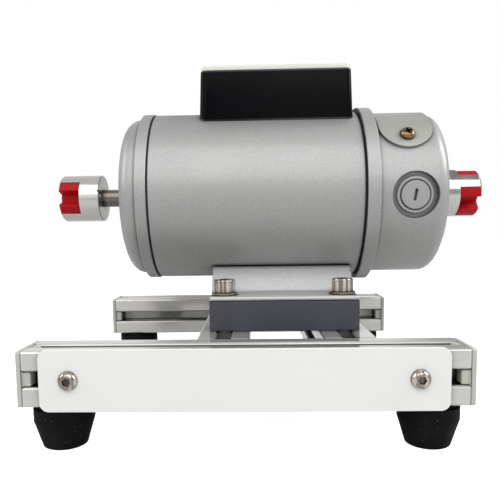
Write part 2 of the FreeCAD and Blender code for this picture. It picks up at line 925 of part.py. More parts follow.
def field_coil():
    """Coil around a pole, shaped to the yoke outside and to the shoe inside."""
    inner_length = core_length + 2 * coil_play
    inner_depth = pole_width + 2 * coil_play
    outer_length = inner_length + 2 * coil_end_width
    outer_depth = inner_depth + 2 * coil_width
    low = 20.0
    outside = rounded_block(outer_length, outer_depth, coil_corner, low, yoke_radius)
    inside = rounded_block(inner_length, inner_depth, coil_play, low - past, yoke_radius + past)
    ring = moved(outside.cut(inside), core_middle, 0, 0)
    start = core_middle - outer_length
    end = core_middle + outer_length
    outer_skin = axial_rod(yoke_bore - coil_play, start, end)
    inner_skin = axial_rod(core_radius + air_gap + shoe_thickness + coil_play, start, end)
    return ring.common(outer_skin).cut(inner_skin)


def field_magnets():
    pole = pole_piece()
    coil = field_coil()
    screws = []
    screw = flat_screw(m6_flat, pole_screw_length)
    for x in (-pole_screw_place, pole_screw_place):
        for way in (1, -1):
            place = vector(core_middle + x, 0, way * (yoke_radius - sink_depth))
            screws.append(aimed(screw, place, vector(0, 0, way)))
    return {
        "pole_pieces": [pole, turned_about(pole, x_axis, 180)],
        "field_coil_top": coil,
        "field_coil_bottom": turned_about(coil, x_axis, 180),
        "pole_screws": screws,
    }


# Rotor

def rotor_shaft():
    seat = bearing_bore / 2 - fit_play
    core = shaft_core_diameter / 2
    step = bearing_end + 0.7
    left = drive_hub_face - hub_length + shaft_chamfer
    right = brush_hub_face + hub_length - shaft_chamfer
    shaft = lathe([
        (left, 0),
        (left, shaft_radius - shaft_chamfer),
        (left + shaft_chamfer, shaft_radius),
        (-step, shaft_radius),
        (-step, seat),
        (-bearing_start, seat),
        (-bearing_start, core),
        (bearing_start, core),
        (bearing_start, seat),
        (step, seat),
        (step, shaft_radius),
        (right - shaft_chamfer, shaft_radius),
        (right, shaft_radius - shaft_chamfer),
        (right, 0),
    ])
    for middle in key_middles():
        half = key_length / 2 + key_play
        side = key_side / 2 + key_play / 2
        low = shaft_radius - key_depth
        shaft = shaft.cut(block(middle - half, middle + half, low, shaft_radius + past, -side, side))
    return shaft


def key_middles():
    return (drive_hub_face - hub_length / 2, brush_hub_face + hub_length / 2)


def shaft_keys():
    low = shaft_radius - key_depth
    half = key_side / 2
    return [
        block(x - key_length / 2, x + key_length / 2, low, low + key_side, -half, half)
        for x in key_middles()
    ]


def armature_core():
    core = tube(shaft_core_diameter / 2 + fit_play, core_radius, core_start, core_end)
    half = armature_slot_width / 2
    tip = core_radius - armature_tooth_tip
    slot = block(core_start, core_end, -half, half, armature_slot_floor, tip)
    side = armature_mouth / 2
    mouth = block(core_start, core_end, -side, side, tip - past, core_radius + past)
    return core.cut(Part.Compound(around_shaft(union([slot, mouth]), slot_count)))


def armature_winding():
    """Conductors in the slots, rounded end turns, and a cone of leads to the commutator."""
    half = armature_slot_width / 2 - winding_play
    bar_top = core_radius - armature_tooth_tip - winding_play
    bar = block(
        core_start - 2, core_end + 2, -half, half, armature_slot_floor + winding_play, bar_top,
    )
    inner = winding_inner_radius
    outer = winding_outer_radius
    soft = 0.35 * winding_overhang
    near = core_start - 2 * winding_play
    far = core_start - winding_overhang
    drive_turns = lathe([
        (near, inner), (near, outer - 1), (near - 1, outer), (far + soft, outer),
        (far + 1, outer - soft), (far, outer - 2 * soft), (far, inner + 2), (far + 2, inner),
    ])
    near = core_end + 2 * winding_play
    far = core_end + winding_overhang
    cone_end = commutator_start - riser_ring_width - winding_play
    brush_turns = lathe([
        (near, inner), (near, outer - 1), (near + 1, outer), (far - soft, outer),
        (far - 1, outer - soft), (far + 3, lead_cone_radius + 5), (cone_end, lead_cone_radius + 1),
        (cone_end, inner),
    ])
    return union([drive_turns, brush_turns] + around_shaft(bar, slot_count))


def commutator():
    bore = shaft_core_diameter / 2 + fit_play
    body = lathe([
        (commutator_start - riser_ring_width, bore),
        (commutator_start - riser_ring_width, riser_ring_radius),
        (commutator_start, riser_ring_radius),
        (commutator_start, commutator_radius),
        (commutator_end, commutator_radius),
        (commutator_end, bore),
    ])
    half = commutator_groove / 2
    low = commutator_radius - commutator_groove_depth
    start = commutator_start - riser_ring_width
    groove = block(start - past, commutator_end + past, -half, half, low, riser_ring_radius + past)
    return body.cut(Part.Compound(around_shaft(groove, commutator_bars)))


def bearing(way):
    """Inner ring, outer ring and caged balls of the bearing at the drive or the brush end."""
    middle = way * (bearing_start + bearing_width / 2)
    start = middle - bearing_width / 2
    end = middle + bearing_width / 2
    groove = Part.makeTorus(ball_pitch_radius, ball_radius + race_play, vector(middle, 0, 0), x_axis)
    inner = tube(bearing_bore / 2, inner_race_radius, start, end).cut(groove)
    outer = tube(outer_race_radius, bearing_outside / 2, start, end).cut(groove)
    cage = tube(
        inner_race_radius + cage_play,
        outer_race_radius - cage_play,
        middle - cage_width / 2,
        middle + cage_width / 2,
    )
    ball = Part.makeSphere(ball_radius, vector(middle, 0, ball_pitch_radius))
    return inner, outer, union([cage] + around_shaft(ball, ball_count))


# Brush gear, made about +Z and carried to the brushes' axis

def holder_inner():
    return commutator_radius + holder_clear


def brush_outer_end():
    return commutator_radius + brush_length


def spring_outer_end():
    return brush_outer_end() + spring_length


def brush_holder():
    half_x = brush_along / 2 + brush_play
    half_y = brush_across / 2 + brush_play
    sleeve = rod(holder_radius, holder_inner(), recess_floor)
    channel = block(-half_x, half_x, -half_y, half_y, holder_inner() - past, spring_outer_end())
    stem = rod(cap_stem_radius + brush_play, spring_outer_end() - past / 2, recess_floor + past)
    return sleeve.cut(channel).cut(stem)


def carbon_brush():
    half_x = brush_along / 2
    half_y = brush_across / 2
    low = commutator_radius - 2
    carbon = block(-half_x, half_x, -half_y, half_y, low, brush_outer_end())
    return carbon.cut(axial_rod(commutator_radius + brush_gap, -brush_along, brush_along))


def brush_spring():
    """Coil spring between the brush and the cap's stem, as a plain sleeve of its outer size."""
    start = brush_outer_end() + brush_play
    end = spring_outer_end() - brush_play
    inner = rod(spring_radius - spring_wire, start - past, end + past)
    return rod(spring_radius, start, end).cut(inner)


def brush_cap():
    """Screw cap with a flange in the recess, a raised disc with a slot, and a stem."""
    top = recess_floor + cap_flange
    flange = rod(cap_radius, recess_floor, top)
    disc = rod(cap_disc_radius, top - 0.5, top + cap_disc_height)
    stem = rod(cap_stem_radius, spring_outer_end(), recess_floor + 0.5)
    side = cap_slot_width / 2
    half = cap_slot_length / 2
    face = top + cap_disc_height
    slot = block(-side, side, -half, half, face - cap_slot_depth, face + past)
    return union([flange, disc, stem]).cut(turned_about(slot, z_axis, -cap_slot_lean))


def brush_gear():
    holders = [brush_axis_piece(brush_holder(), front) for front in (True, False)]
    caps = [brush_axis_piece(brush_cap(), front) for front in (True, False)]
    return {
        "brush_holders": holders,
        "brush_caps": caps,
        "brush_front": brush_axis_piece(carbon_brush(), True),
        "brush_rear": brush_axis_piece(carbon_brush(), False),
        "brush_spring_front": brush_axis_piece(brush_spring(), True),
        "brush_spring_rear": brush_axis_piece(brush_spring(), False),
    }


# Inspection cover

def inspection_cover():
    """Band of sheet over the top of the brush-end nose, with a round tongue at each end."""
    middle = body_end - cover_middle
    start = middle - cover_width / 2
    end = middle + cover_width / 2
    inner = nose_radius + cover_play
    sheet = tube(inner, inner + cover_thickness, start, end)
    reach = inner + cover_thickness + 2
    outline = [pie(90 - cover_tongue_angle, reach, start, end)]
    turn = math.radians(cover_tongue_angle)
    tongue = rod(cover_width / 2, inner - 2 * well_past, reach)
    for way in (-1, 1):
        direction = vector(0, way * math.cos(turn), math.sin(turn))
        outline.append(aimed(tongue, vector(middle, 0, 0), direction))
    cover = sheet.common(union(outline))
    hole = rod((m5_pan[0] + hole_play) / 2, inner - well_past, reach)
    for front in (True, False):
        cover = cover.cut(aimed(hole, vector(middle, 0, 0), cover_screw_axis(front)))
    return cover


def cover_screws():
    seat = nose_radius + cover_play + cover_thickness
    screw = dome_screw(m5_pan, cover_screw_length)
    screws = []
    for front in (True, False):
        direction = cover_screw_axis(front)
        place = vector(body_end - cover_middle, 0, 0) + direction * seat
        screws.append(aimed(screw, place, direction))
    return screws


# Terminal box, about the shaft's axis

def box_floor_z():
    return math.sqrt(yoke_radius ** 2 - (box_depth / 2) ** 2)


def post_places():
    x = box_length / 2 - post_inset
    y = box_depth / 2 - post_inset
    return [(box_shift + sx * x, sy * y) for sx in (-1, 1) for sy in (-1, 1)]


def socket_places():
    return [box_shift + (index - 1.5) * socket_pitch for index in range(4)]


def terminal_box():
    """Moulded box with a saddle for the yoke, drafted walls, and posts for the lid's screws."""
    low = box_floor_z()
    skin = [
        rounded_outline(box_length, box_depth, box_corner, low),
        rounded_outline(box_length - 2 * box_draft, box_depth - 2 * box_draft, box_corner, box_top),
    ]
    wall = 2 * (box_wall + box_draft)
    hollow = rounded_block(box_length - wall, box_depth - wall, box_inner_corner, 0, box_top + past)
    start = -box_length
    floor = axial_rod(yoke_radius + box_wall, start, -start)
    outside = Part.makeLoft(skin, True, True)
    box = moved(outside.cut(hollow.cut(floor)), box_shift, 0, 0)
    posts = [rod(post_radius, low, box_top, x, y) for x, y in post_places()]
    box = union([box] + posts)
    cuts = [axial_rod(yoke_radius + weld_gap, start, -start)]
    for x, y in post_places():
        tap = m3_flat[0] / 2 + thread_play
        cuts.append(rod(tap, box_top - lid_screw_length, box_top + past, x, y))
    low = yoke_radius - 2 * past
    high = yoke_radius + box_wall + 2 * past
    cuts.append(rod(lead_hole_radius, low, high, box_shift + lead_hole_place, 0))
    for x in (-box_screw_place, box_screw_place):
        radius = (m4_pan[0] + hole_play) / 2
        cuts.append(rod(radius, low, high, box_shift + x, 0))
    return box.cut(Part.Compound(cuts))


def terminal_lid():
    length = box_length - 2 * box_draft - 2 * lid_inset
    depth = box_depth - 2 * box_draft - 2 * lid_inset
    top = box_top + lid_thickness
    lid = moved(rounded_block(length, depth, box_corner, box_top, top), box_shift, 0, 0)
    neck = socket_neck_radius + cap_play
    cuts = [rod(neck, box_top - past, top + past, x, 0) for x in socket_places()]
    sink = flat_sink(m3_flat, sink_depth, lid_thickness + past)
    cuts += [moved(sink, x, y, top) for x, y in post_places()]
    return lid.cut(Part.Compound(cuts))


def safety_socket(x):
    """Insulating body of a 4 mm safety socket, its rim above the lid."""
    top = box_top + lid_thickness
    bottom = box_top - socket_depth
    rim = top + socket_collar_height
    body = lathe([
        (bottom, contact_tail_radius),
        (bottom, socket_neck_radius),
        (top, socket_neck_radius),
        (top, socket_collar_radius),
        (rim - 0.5, socket_collar_radius),
        (rim, socket_collar_radius - 0.5),
        (rim, socket_bore_radius),
        (bottom + 2, socket_bore_radius),
        (bottom + 2, contact_tail_radius),
    ], z_axis)
    return moved(body, x, 0, 0)


def socket_contact(x):
    """Plated sleeve inside a socket, with a solder tail below."""
    top = box_top + lid_thickness + socket_collar_height - contact_recess
    bottom = box_top - socket_depth
    sleeve = lathe([
        (bottom - contact_tail_length, 0),
        (bottom - contact_tail_length, contact_tail_radius),
        (bottom + 2, contact_tail_radius),
        (bottom + 2, contact_radius),
        (top, contact_radius),
        (top, contact_bore_radius),
        (bottom + 3.5, contact_bore_radius),
        (bottom + 3.5, 0),
    ], z_axis)
    return moved(sleeve, x, 0, 0)


def socket_nut(x):
    nut = hex_socket(socket_nut_size, box_top - past, socket_nut_height - past)
    return moved(nut.cut(rod(socket_neck_radius + thread_play, 0, box_top + past)), x, 0, 0)


def terminals():
    places = socket_places()
    top = box_top + lid_thickness
    lid_screw = flat_screw(m3_flat, lid_screw_length)
    box_screw = dome_screw(m4_pan, box_screw_length)
    seat = yoke_radius + box_wall
    return {
        "terminal_box": terminal_box(),
        "terminal_lid": terminal_lid(),
        "lid_screws": [moved(lid_screw, x, y, top - sink_depth) for x, y in post_places()],
        "box_screws": [
            moved(box_screw, box_shift + x, 0, seat) for x in (-box_screw_place, box_screw_place)
        ],
        "sockets_red": [safety_socket(places[0]), safety_socket(places[2])],
        "sockets_black": [safety_socket(places[1]), safety_socket(places[3])],
        "socket_contacts": [socket_contact(x) for x in places],
        "socket_nuts": [socket_nut(x) for x in places],
    }


# Jaw couplings, made with the hub's inner face at x = 0 and the jaws towards +X

def jaw_sector(half_angle, radius, start, end):
    """Sector about X with its middle towards -Y."""
    return pie(half_angle, radius, start, end, 180.0)


def coupling_hub(first_jaw):
    end = hub_length + jaw_length
    outside = lathe([
        (0, 0),
        (0, hub_radius - hub_chamfer),
        (hub_chamfer, hub_radius),
        (end - jaw_end_chamfer, hub_radius),
        (end, hub_radius - jaw_end_chamfer),
        (end, 0),
    ])
    body = outside.common(axial_rod(hub_radius + past, 0, hub_length))
    ring = tube(jaw_inner_radius, hub_radius + past, hub_length - past, end)
    jaw = jaw_sector(jaw_half_angle, hub_radius + past, hub_length - past, end).common(ring)
    jaws = [piece.common(outside) for piece in around_shaft(jaw, jaw_count, -first_jaw)]
    hub = union([body] + jaws)
    side = key_side / 2 + key_play
    key_top = shaft_radius - key_depth + key_side + 3 * key_play
    mark = block(-past, mark_depth, -hub_radius - past, 0, -mark_width / 2, mark_width / 2)
    cuts = [
        axial_rod(shaft_radius + fit_play, -past, hub_length + past),
        block(-past, hub_length + past, 0, key_top, -side, side),
        turned_about(mark, x_axis, -mark_angle),
        Part.makeCylinder(grub_diameter / 2 + thread_play, hub_radius, vector(hub_length / 2, 0, 0), y_axis),
    ]
    return hub.cut(Part.Compound(cuts))


def coupling_spider(first_jaw):
    """Six-legged cushion on the hub's jaws, with soft outer corners on its legs."""
    start = hub_length + spider_play
    end = hub_length + jaw_length
    leg_body = lathe([
        (start, 0),
        (start, leg_radius),
        (end - leg_corner, leg_radius),
        (end - 0.3 * leg_corner, leg_radius - 0.3 * leg_corner),
        (end, leg_radius - leg_corner),
        (end, 0),
    ])
    leg = jaw_sector(leg_half_angle, leg_radius + past, start, end).common(leg_body)
    ring = axial_rod(spider_ring_radius, start, end)
    between = 180.0 / leg_count
    spider = union([ring] + around_shaft(leg, leg_count, between - first_jaw))
    return spider.cut(axial_rod(spider_bore_radius, start - past, end + past))


def grub_screw():
    key_top = shaft_radius - key_depth + key_side
    length = hub_radius - grub_sink - key_top
    grub = Part.makeCylinder(grub_diameter / 2, length, vector(hub_length / 2, key_top, 0), y_axis)
    tool = hex_socket(2.5, hub_radius - grub_sink, 2.5)
    return grub.cut(aimed(tool, vector(hub_length / 2, 0, 0), y_axis))


def couplings():
    """Drive-end pieces are turned half round about Z, then half round about X to keep the key."""
    brush = {
        "coupling_hub_brush_end": coupling_hub(brush_jaw_angle),
        "coupling_spider_brush_end": coupling_spider(brush_jaw_angle),
    }
    drive = {
        "coupling_hub_drive_end": coupling_hub(drive_jaw_angle),
        "coupling_spider_drive_end": coupling_spider(drive_jaw_angle),
    }
    pieces = {name: moved(shape, brush_hub_face, 0, 0) for name, shape in brush.items()}
    for name, shape in drive.items():
        pieces[name] = moved(reversed_end(shape), drive_hub_face, 0, 0)
    grubs = [moved(grub_screw(), brush_hub_face, 0, 0)]
    grubs.append(moved(reversed_end(grub_screw()), drive_hub_face, 0, 0))
    pieces["coupling_set_screws"] = grubs
    return pieces


def reversed_end(shape):
    """Mirror a coupling piece, so that its jaws point towards -X."""
    return shape.mirror(centre, x_axis)


# Assembly

def motor():
    drive_inner, drive_outer, drive_cage = bearing(-1)
    brush_inner, brush_outer, brush_cage = bearing(1)
    pieces = {
        "yoke": housing_yoke(),
        "drive_end_bell": drive_end_bell(),
        "commutator_end_bell": commutator_end_bell(),
        "bell_gaskets": bell_gaskets(),
        "tie_bolts": tie_bolts(),
        "bearing_outer_rings": [drive_outer, brush_outer],
        "bearing_inner_rings": [drive_inner, brush_inner],
        "ball_cage_drive_end": drive_cage,
        "ball_cage_brush_end": brush_cage,
        "shaft": rotor_shaft(),
        "shaft_keys": shaft_keys(),
        "armature_core": armature_core(),
        "armature_winding": armature_winding(),
        "commutator": commutator(),
        "inspection_cover": inspection_cover(),
        "cover_screws": cover_screws(),
    }
    for group in (motor_mounting(), field_magnets(), brush_gear(), terminals(), couplings()):
        pieces.update(group)
    return pieces


def bench():
    pieces = {}
    for group in (bench_frame(), bracket_set(), front_plate(), rubber_feet()):
        for name, shape in group.items():
            shapes = shape if isinstance(shape, list) else [shape]
            pieces.setdefault(name, []).extend(shapes)
    return pieces


def write_pieces(pieces, offset):
    for name, shape in pieces.items():
        shapes = shape if isinstance(shape, list) else [shape]
        whole = Part.Compound([solid for piece in shapes for solid in piece.Solids])
        whole.translate(offset)
        whole.exportStep("parts/" + name + ".step")
        print(name, len(whole.Solids), "valid" if whole.isValid() else "NOT VALID")


def main():
    os.makedirs("parts", exist_ok=True)
    write_pieces(bench(), vector(-origin_x, -origin_y, 0))
    write_pieces(motor(), vector(motor_x - origin_x, axis_y - origin_y, axis_z))


main()
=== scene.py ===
import bpy
import bmesh
import json
import math
from mathutils import Matrix, Vector


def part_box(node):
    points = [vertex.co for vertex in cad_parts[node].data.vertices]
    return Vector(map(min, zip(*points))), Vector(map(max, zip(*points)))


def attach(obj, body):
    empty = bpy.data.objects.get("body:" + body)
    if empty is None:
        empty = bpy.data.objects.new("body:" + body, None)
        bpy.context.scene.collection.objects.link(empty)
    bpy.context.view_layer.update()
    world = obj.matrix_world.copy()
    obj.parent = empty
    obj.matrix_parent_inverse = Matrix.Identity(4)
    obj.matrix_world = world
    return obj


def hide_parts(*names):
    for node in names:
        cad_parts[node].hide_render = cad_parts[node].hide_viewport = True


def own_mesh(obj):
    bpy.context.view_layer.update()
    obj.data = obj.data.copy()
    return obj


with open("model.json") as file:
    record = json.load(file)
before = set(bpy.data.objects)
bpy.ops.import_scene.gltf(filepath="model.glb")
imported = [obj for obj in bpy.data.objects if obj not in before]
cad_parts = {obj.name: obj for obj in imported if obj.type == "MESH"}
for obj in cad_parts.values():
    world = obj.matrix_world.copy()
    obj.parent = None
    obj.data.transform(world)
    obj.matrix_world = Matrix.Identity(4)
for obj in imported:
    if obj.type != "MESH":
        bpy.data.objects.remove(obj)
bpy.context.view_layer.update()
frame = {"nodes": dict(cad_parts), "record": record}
nodes = frame["nodes"]
record = frame["record"]
mm = 0.001
slotOf = {part["node"]: part["material_slot"] for part in record["subparts"]}
bodyOf = {node: body for body, held in record["behaviour"]["bodies"].items() for node in held}
print("frame loaded:", len(nodes), "nodes")


# finishes

class Signal:
    # one output of a node; sums on it add Math nodes
    def __init__(self, craft, socket):
        self.craft = craft
        self.socket = socket

    def maths(self, operation, first, second):
        return self.craft.node("ShaderNodeMath", {"operation": operation}, {0: first, 1: second})

    def __add__(self, other):
        return self.maths("ADD", self, other)

    def __sub__(self, other):
        return self.maths("SUBTRACT", self, other)

    def __rsub__(self, other):
        return self.maths("SUBTRACT", other, self)

    def __mul__(self, other):
        return self.maths("MULTIPLY", self, other)

    def __lt__(self, other):
        return self.maths("LESS_THAN", self, other)

    __radd__ = __add__
    __rmul__ = __mul__


class Craft:
    # nodes on one tree, of a material or of the world
    def __init__(self, tree):
        self.tree = tree

    def node(self, kind, settings=None, inputs=None, output=0):
        made = self.tree.nodes.new(kind)
        for label, value in (settings or {}).items():
            setattr(made, label, value)
        for label, value in (inputs or {}).items():
            self.plug(made.inputs[label], value)
        return Signal(self, made.outputs[output])

    def plug(self, socket, value):
        if isinstance(value, Signal):
            self.tree.links.new(value.socket, socket)
        else:
            socket.default_value = value

    def range(self, signal, low, high, start=0.0, end=1.0):
        values = {"Value": signal, "From Min": low, "From Max": high, "To Min": start, "To Max": end}
        return self.node("ShaderNodeMapRange", {"clamp": True}, values)

    def blend(self, amount, first, second):
        return self.node("ShaderNodeMix", {"data_type": "RGBA"}, {0: amount, 6: first, 7: second}, 2)


shadeLook = {
    "samples": 6,
    "creviceSpan": (0.42, 0.95),  # open share at which a crevice is darkest and at which it ends
    "rimSpan": (0.6, 0.9),
}


class Finish(Craft):
    # a material built round one Principled shader
    def __init__(self, name, constants):
        self.material = bpy.data.materials.new(name)
        self.material.use_nodes = True
        super().__init__(self.material.node_tree)
        self.shader = self.tree.nodes["Principled BSDF"]
        for label, value in constants.items():
            self.shader.inputs[label].default_value = value

    def feed(self, label, value):
        self.plug(self.shader.inputs[label], value)

    def place(self, stretch=(1, 1, 1)):
        spot = self.node("ShaderNodeTexCoord", output="Object")
        return self.node("ShaderNodeMapping", None, {"Vector": spot, "Scale": stretch})

    def noise(self, scale, detail=2.0, rough=0.5, stretch=(1, 1, 1)):
        values = {"Vector": self.place(stretch), "Scale": scale, "Detail": detail, "Roughness": rough}
        return self.node("ShaderNodeTexNoise", None, values, "Fac")

    def even(self, noise, start=0.0, end=1.0):
        # the middle of a noise spread from start to end
        return self.range(noise, 0.3, 0.7, start, end)

    def specks(self, scale, size):
        # 1 inside scattered round specks, 0 elsewhere
        values = {"Vector": self.place(), "Scale": scale}
        return self.node("ShaderNodeTexVoronoi", None, values, "Distance") < size

    def openShare(self, reach, inside):
        # the share of the view that is free within reach, outside the piece or inside it
        settings = {"samples": shadeLook["samples"], "inside": inside}
        return self.node("ShaderNodeAmbientOcclusion", settings, {"Distance": reach}, "AO")

    def paintedCreviceShade(self, color, reach, dark):
        # painted shade: the colour darkened where another surface is nearer than reach, standing in for the shade
        # in crevices, joints and contacts
        shade = self.range(self.openShare(reach, False), *shadeLook["creviceSpan"], dark, 1.0)
        settings = {"data_type": "RGBA", "blend_type": "MULTIPLY"}
        return self.node("ShaderNodeMix", settings, {0: 1.0, 6: color, 7: shade}, 2)

    def rim(self, reach):
        # 1 along outer edges, 0 further in than reach
        return self.range(self.openShare(reach, True), *shadeLook["rimSpan"], 1.0, 0.0)

    def tint(self, color, signal, depth):
        # the colour made darker and lighter by depth while the signal runs from 0 to 1
        dark = tuple(part * (1 - depth) for part in color) + (1,)
        light = tuple(min(1, part * (1 + depth)) for part in color) + (1,)
        return self.blend(signal, dark, light)

    def bump(self, height, strength, distance):
        values = {"Height": height, "Strength": strength, "Distance": distance}
        self.feed("Normal", self.node("ShaderNodeBump", None, values, "Normal"))


def linear(red, green, blue):
    # screen colour from 0 to 255 as the shader's linear values
    def part(value):
        value = value / 255
        return value / 12.92 if value <= 0.04045 else ((value + 0.055) / 1.055) ** 2.4
    return part(red), part(green), part(blue)


# paint

paintLook = {
    "metallic": 0.62,
    "rough": (0.50, 0.56),
    "grain": 1000,
    "grainDepth": 0.11,
    "peel": 300,
    "speck": 75,
    "speckSize": 0.022,
    "speckShare": 0.6,
    "dirt": (0.06, 0.06, 0.06),
    "cloud": 24,
    "bump": (0.10, 0.0004),  # strength and height of the relief, the latter in metres, here and below
    # the next two set the reach and depth of the painted shade in crevices and at joints
    "creviceReach": 0.0034,
    "creviceDark": 0.08,
    "coat": 0.5,
    "coatRough": 0.16,
}


def silverPaint(name, color):
    # aluminium-flake paint: fine grain, faint orange peel, a few dirt specks, and painted shade in crevices,
    # joints and contacts
    look = paintLook
    finish = Finish(name, {
        "Metallic": look["metallic"], "IOR": 1.5, "Coat Weight": look["coat"], "Coat Roughness": look["coatRough"],
    })
    grain = finish.noise(look["grain"], 3.0, 0.6)
    cloud = finish.noise(look["cloud"], 2.0)
    tone = finish.tint(color, finish.even(grain), look["grainDepth"])
    speck = finish.specks(look["speck"], look["speckSize"])
    worn = finish.blend(speck * look["speckShare"], tone, look["dirt"] + (1,))
    finish.feed("Base Color", finish.paintedCreviceShade(worn, look["creviceReach"], look["creviceDark"]))
    finish.feed("Roughness", finish.even(cloud, *look["rough"]))
    finish.bump(finish.noise(look["peel"], 2.0) + grain * 0.25, *look["bump"])
    return finish.material


# slotted profile

profileLook = {
    "color": linear(205, 203, 199),
    "metallic": 0.55,
    "tint": 0.05,
    # the edge colour, its share and its reach paint a highlight along the profile's outer edges
    "edge": linear(246, 246, 244),
    "edgeShare": 0.4,
    "edgeReach": 0.0008,
    "line": 900,
    "band": 160,
    "along": 0.012,
    "cloud": 45,
    "bump": (0.04, 0.0002),
    "rough": (0.18, 0.24),
    "coatRough": 0.07,
    # the next two set the painted shade in the slots and corners
    "creviceReach": 0.011,
    "creviceDark": 0.03,
}


def anodised(name, axis):
    # extruded and anodised: fine lines along the profile, a painted highlight along its edges and painted shade in
    # its slots
    look = profileLook
    stretch = [1.0, 1.0, 1.0]
    stretch[axis] = look["along"]
    finish = Finish(name, {
        "Metallic": look["metallic"], "IOR": 1.5,
        "Coat Weight": 1.0, "Coat Roughness": look["coatRough"], "Coat IOR": 1.6,
    })
    line = finish.noise(look["line"], 3.0, 0.6, stretch)
    band = finish.noise(look["band"], 2.0, 0.5, stretch)
    cloud = finish.noise(look["cloud"], 2.0)
    tone = finish.tint(look["color"], finish.range(line + band * 0.6, 0.5, 1.1), look["tint"])
    edgeHighlighted = finish.blend(finish.rim(look["edgeReach"]) * look["edgeShare"], tone, look["edge"] + (1,))
    finish.feed("Base Color", finish.paintedCreviceShade(edgeHighlighted, look["creviceReach"], look["creviceDark"]))
    finish.feed("Roughness", finish.range(band + cloud * 0.5, 0.4, 1.1, *look["rough"]))
    finish.bump(line, *look["bump"])
    return finish.material


# front plate, feet, riser bars

plateLook = {
    "color": linear(238, 238, 236),
    "tint": 0.012,
    "rough": (0.36, 0.44),
    "cloud": 30,
    "film": 1500,
    "bump": (0.04, 0.0002),
}


def whitePlate():
    # sheet with a satin film
    look = plateLook
    finish = Finish("whitePlate", {"IOR": 1.46})
    cloud = finish.noise(look["cloud"], 3.0)
    finish.feed("Base Color", finish.tint(look["color"], cloud, look["tint"]))
    finish.feed("Roughness", finish.even(cloud, *look["rough"]))
    finish.bump(finish.noise(look["film"], 2.0), *look["bump"])
    return finish.material


rubberLook = {
    "color": linear(13, 13, 13),
    "dust": linear(44, 44, 42),
    "dustShare": 0.5,
    "fleck": linear(120, 118, 112),
    "flecks": 300,
    "fleckSize": 0.06,
    "shine": 0.10,
    "rough": (0.55, 0.75),
    "cloud": 70,
    "grain": 700,
    "bump": (0.15, 0.0003),
}


def blackRubber():
    # moulded rubber with a little dust and a few light flecks
    look = rubberLook
    finish = Finish("blackRubber", {"IOR": 1.45, "Specular IOR Level": look["shine"]})
    cloud = finish.noise(look["cloud"], 4.0, 0.6)
    speck = finish.specks(look["flecks"], look["fleckSize"])
    dust = finish.range(cloud, 0.5, 0.8, 0.0, look["dustShare"])
    dusty = finish.blend(dust, look["color"] + (1,), look["dust"] + (1,))
    finish.feed("Base Color", finish.blend(speck, dusty, look["fleck"] + (1,)))
    finish.feed("Roughness", finish.even(cloud, *look["rough"]))
    finish.bump(finish.noise(look["grain"], 3.0), *look["bump"])
    return finish.material


riserLook = {
    "color": linear(70, 72, 79),
    "tint": 0.13,
    "speck": (0.3, 0.31, 0.32),
    "specks": 170,
    "speckSize": 0.05,
    "speckShare": 0.2,
    "shine": 0.35,
    "rough": (0.42, 0.56),
    "grain": 900,
    "marks": 500,
    "bump": (0.12, 0.0003),
}


def sheetPlastic():
    # dark grey sheet with cutter marks on its sawn faces
    look = riserLook
    finish = Finish("sheetPlastic", {"IOR": 1.5, "Specular IOR Level": look["shine"]})
    grain = finish.noise(look["grain"], 3.0, 0.6)
    marks = finish.noise(look["marks"], 2.0, 0.5, (1.0, 0.05, 0.05))
    speck = finish.specks(look["specks"], look["speckSize"])
    tone = finish.tint(look["color"], finish.range(grain + marks * 0.4, 0.4, 1.0), look["tint"])
    finish.feed("Base Color", finish.blend(speck * look["speckShare"], tone, look["speck"] + (1,)))
    finish.feed("Roughness", finish.even(marks, *look["rough"]))
    finish.bump(marks + grain * 0.4, *look["bump"])
    return finish.material


# moulded plastic; what a piece doesn't say comes from plainMoulding

plainMoulding = {
    "tint": 0.03,
    "shine": 0.5,
    "spread": 0.08,  # how far the roughness wanders up from rough
    "cloud": 50,
    "texture": 900,
    "bump": (0.06, 0.0002),
    # reach and dark set the painted shade in crevices and slots
    "reach": 0.002,
    "dark": 0.12,
    "dust": 0.0,  # share of the dust's colour in its specks
    "dustColor": (0.4, 0.4, 0.4),
    "dustScale": 230,
    "dustSize": 0.05,
    "rim": 0.0,  # reach of the gloss along edges
    "rimRough": 0.06,
}
mouldings = {
    "capGrey": {"color": linear(164, 164, 163), "rough": 0.34, "reach": 0.0012},
    "capBeige": {"color": linear(190, 191, 182), "rough": 0.42},
    "gasketBlack": {"color": linear(58, 58, 60), "rough": 0.7, "shine": 0.2},
    "graphite": {"color": linear(44, 44, 45), "rough": 0.5},
    "lidCream": {"color": linear(226, 225, 218), "rough": 0.36},
    "socketRed": {"color": linear(180, 16, 20), "rough": 0.25},
    "socketBlack": {"color": linear(20, 20, 21), "rough": 0.25},
    "boxBlack": {
        "color": linear(9, 9, 12), "rough": 0.07, "tint": 0.1, "dust": 0.14, "texture": 400, "shine": 0.05,
        "rim": 0.0012,
    },
}


def moulded(name):
    # injection-moulded plastic, with dust, glossy edges where asked and painted shade in crevices and slots
    look = plainMoulding | mouldings[name]
    finish = Finish(name, {
        "IOR": 1.5, "Specular IOR Level": look["shine"], "Coat Weight": 0.0, "Coat Roughness": look["rimRough"],
    })
    cloud = finish.noise(look["cloud"], 3.0)
    tone = finish.tint(look["color"], cloud, look["tint"])
    if look["dust"]:
        dust = finish.specks(look["dustScale"], look["dustSize"]) * look["dust"]
        tone = finish.blend(dust, tone, look["dustColor"] + (1,))
    finish.feed("Base Color", finish.paintedCreviceShade(tone, look["reach"], look["dark"]))
    finish.feed("Roughness", finish.even(cloud, look["rough"], look["rough"] + look["spread"]))
    finish.bump(finish.noise(look["texture"], 2.0), *look["bump"])
    if look["rim"]:
        finish.feed("Coat Weight", finish.rim(look["rim"]))
    return finish.material


# turned metal; plainTurning holds what all three share

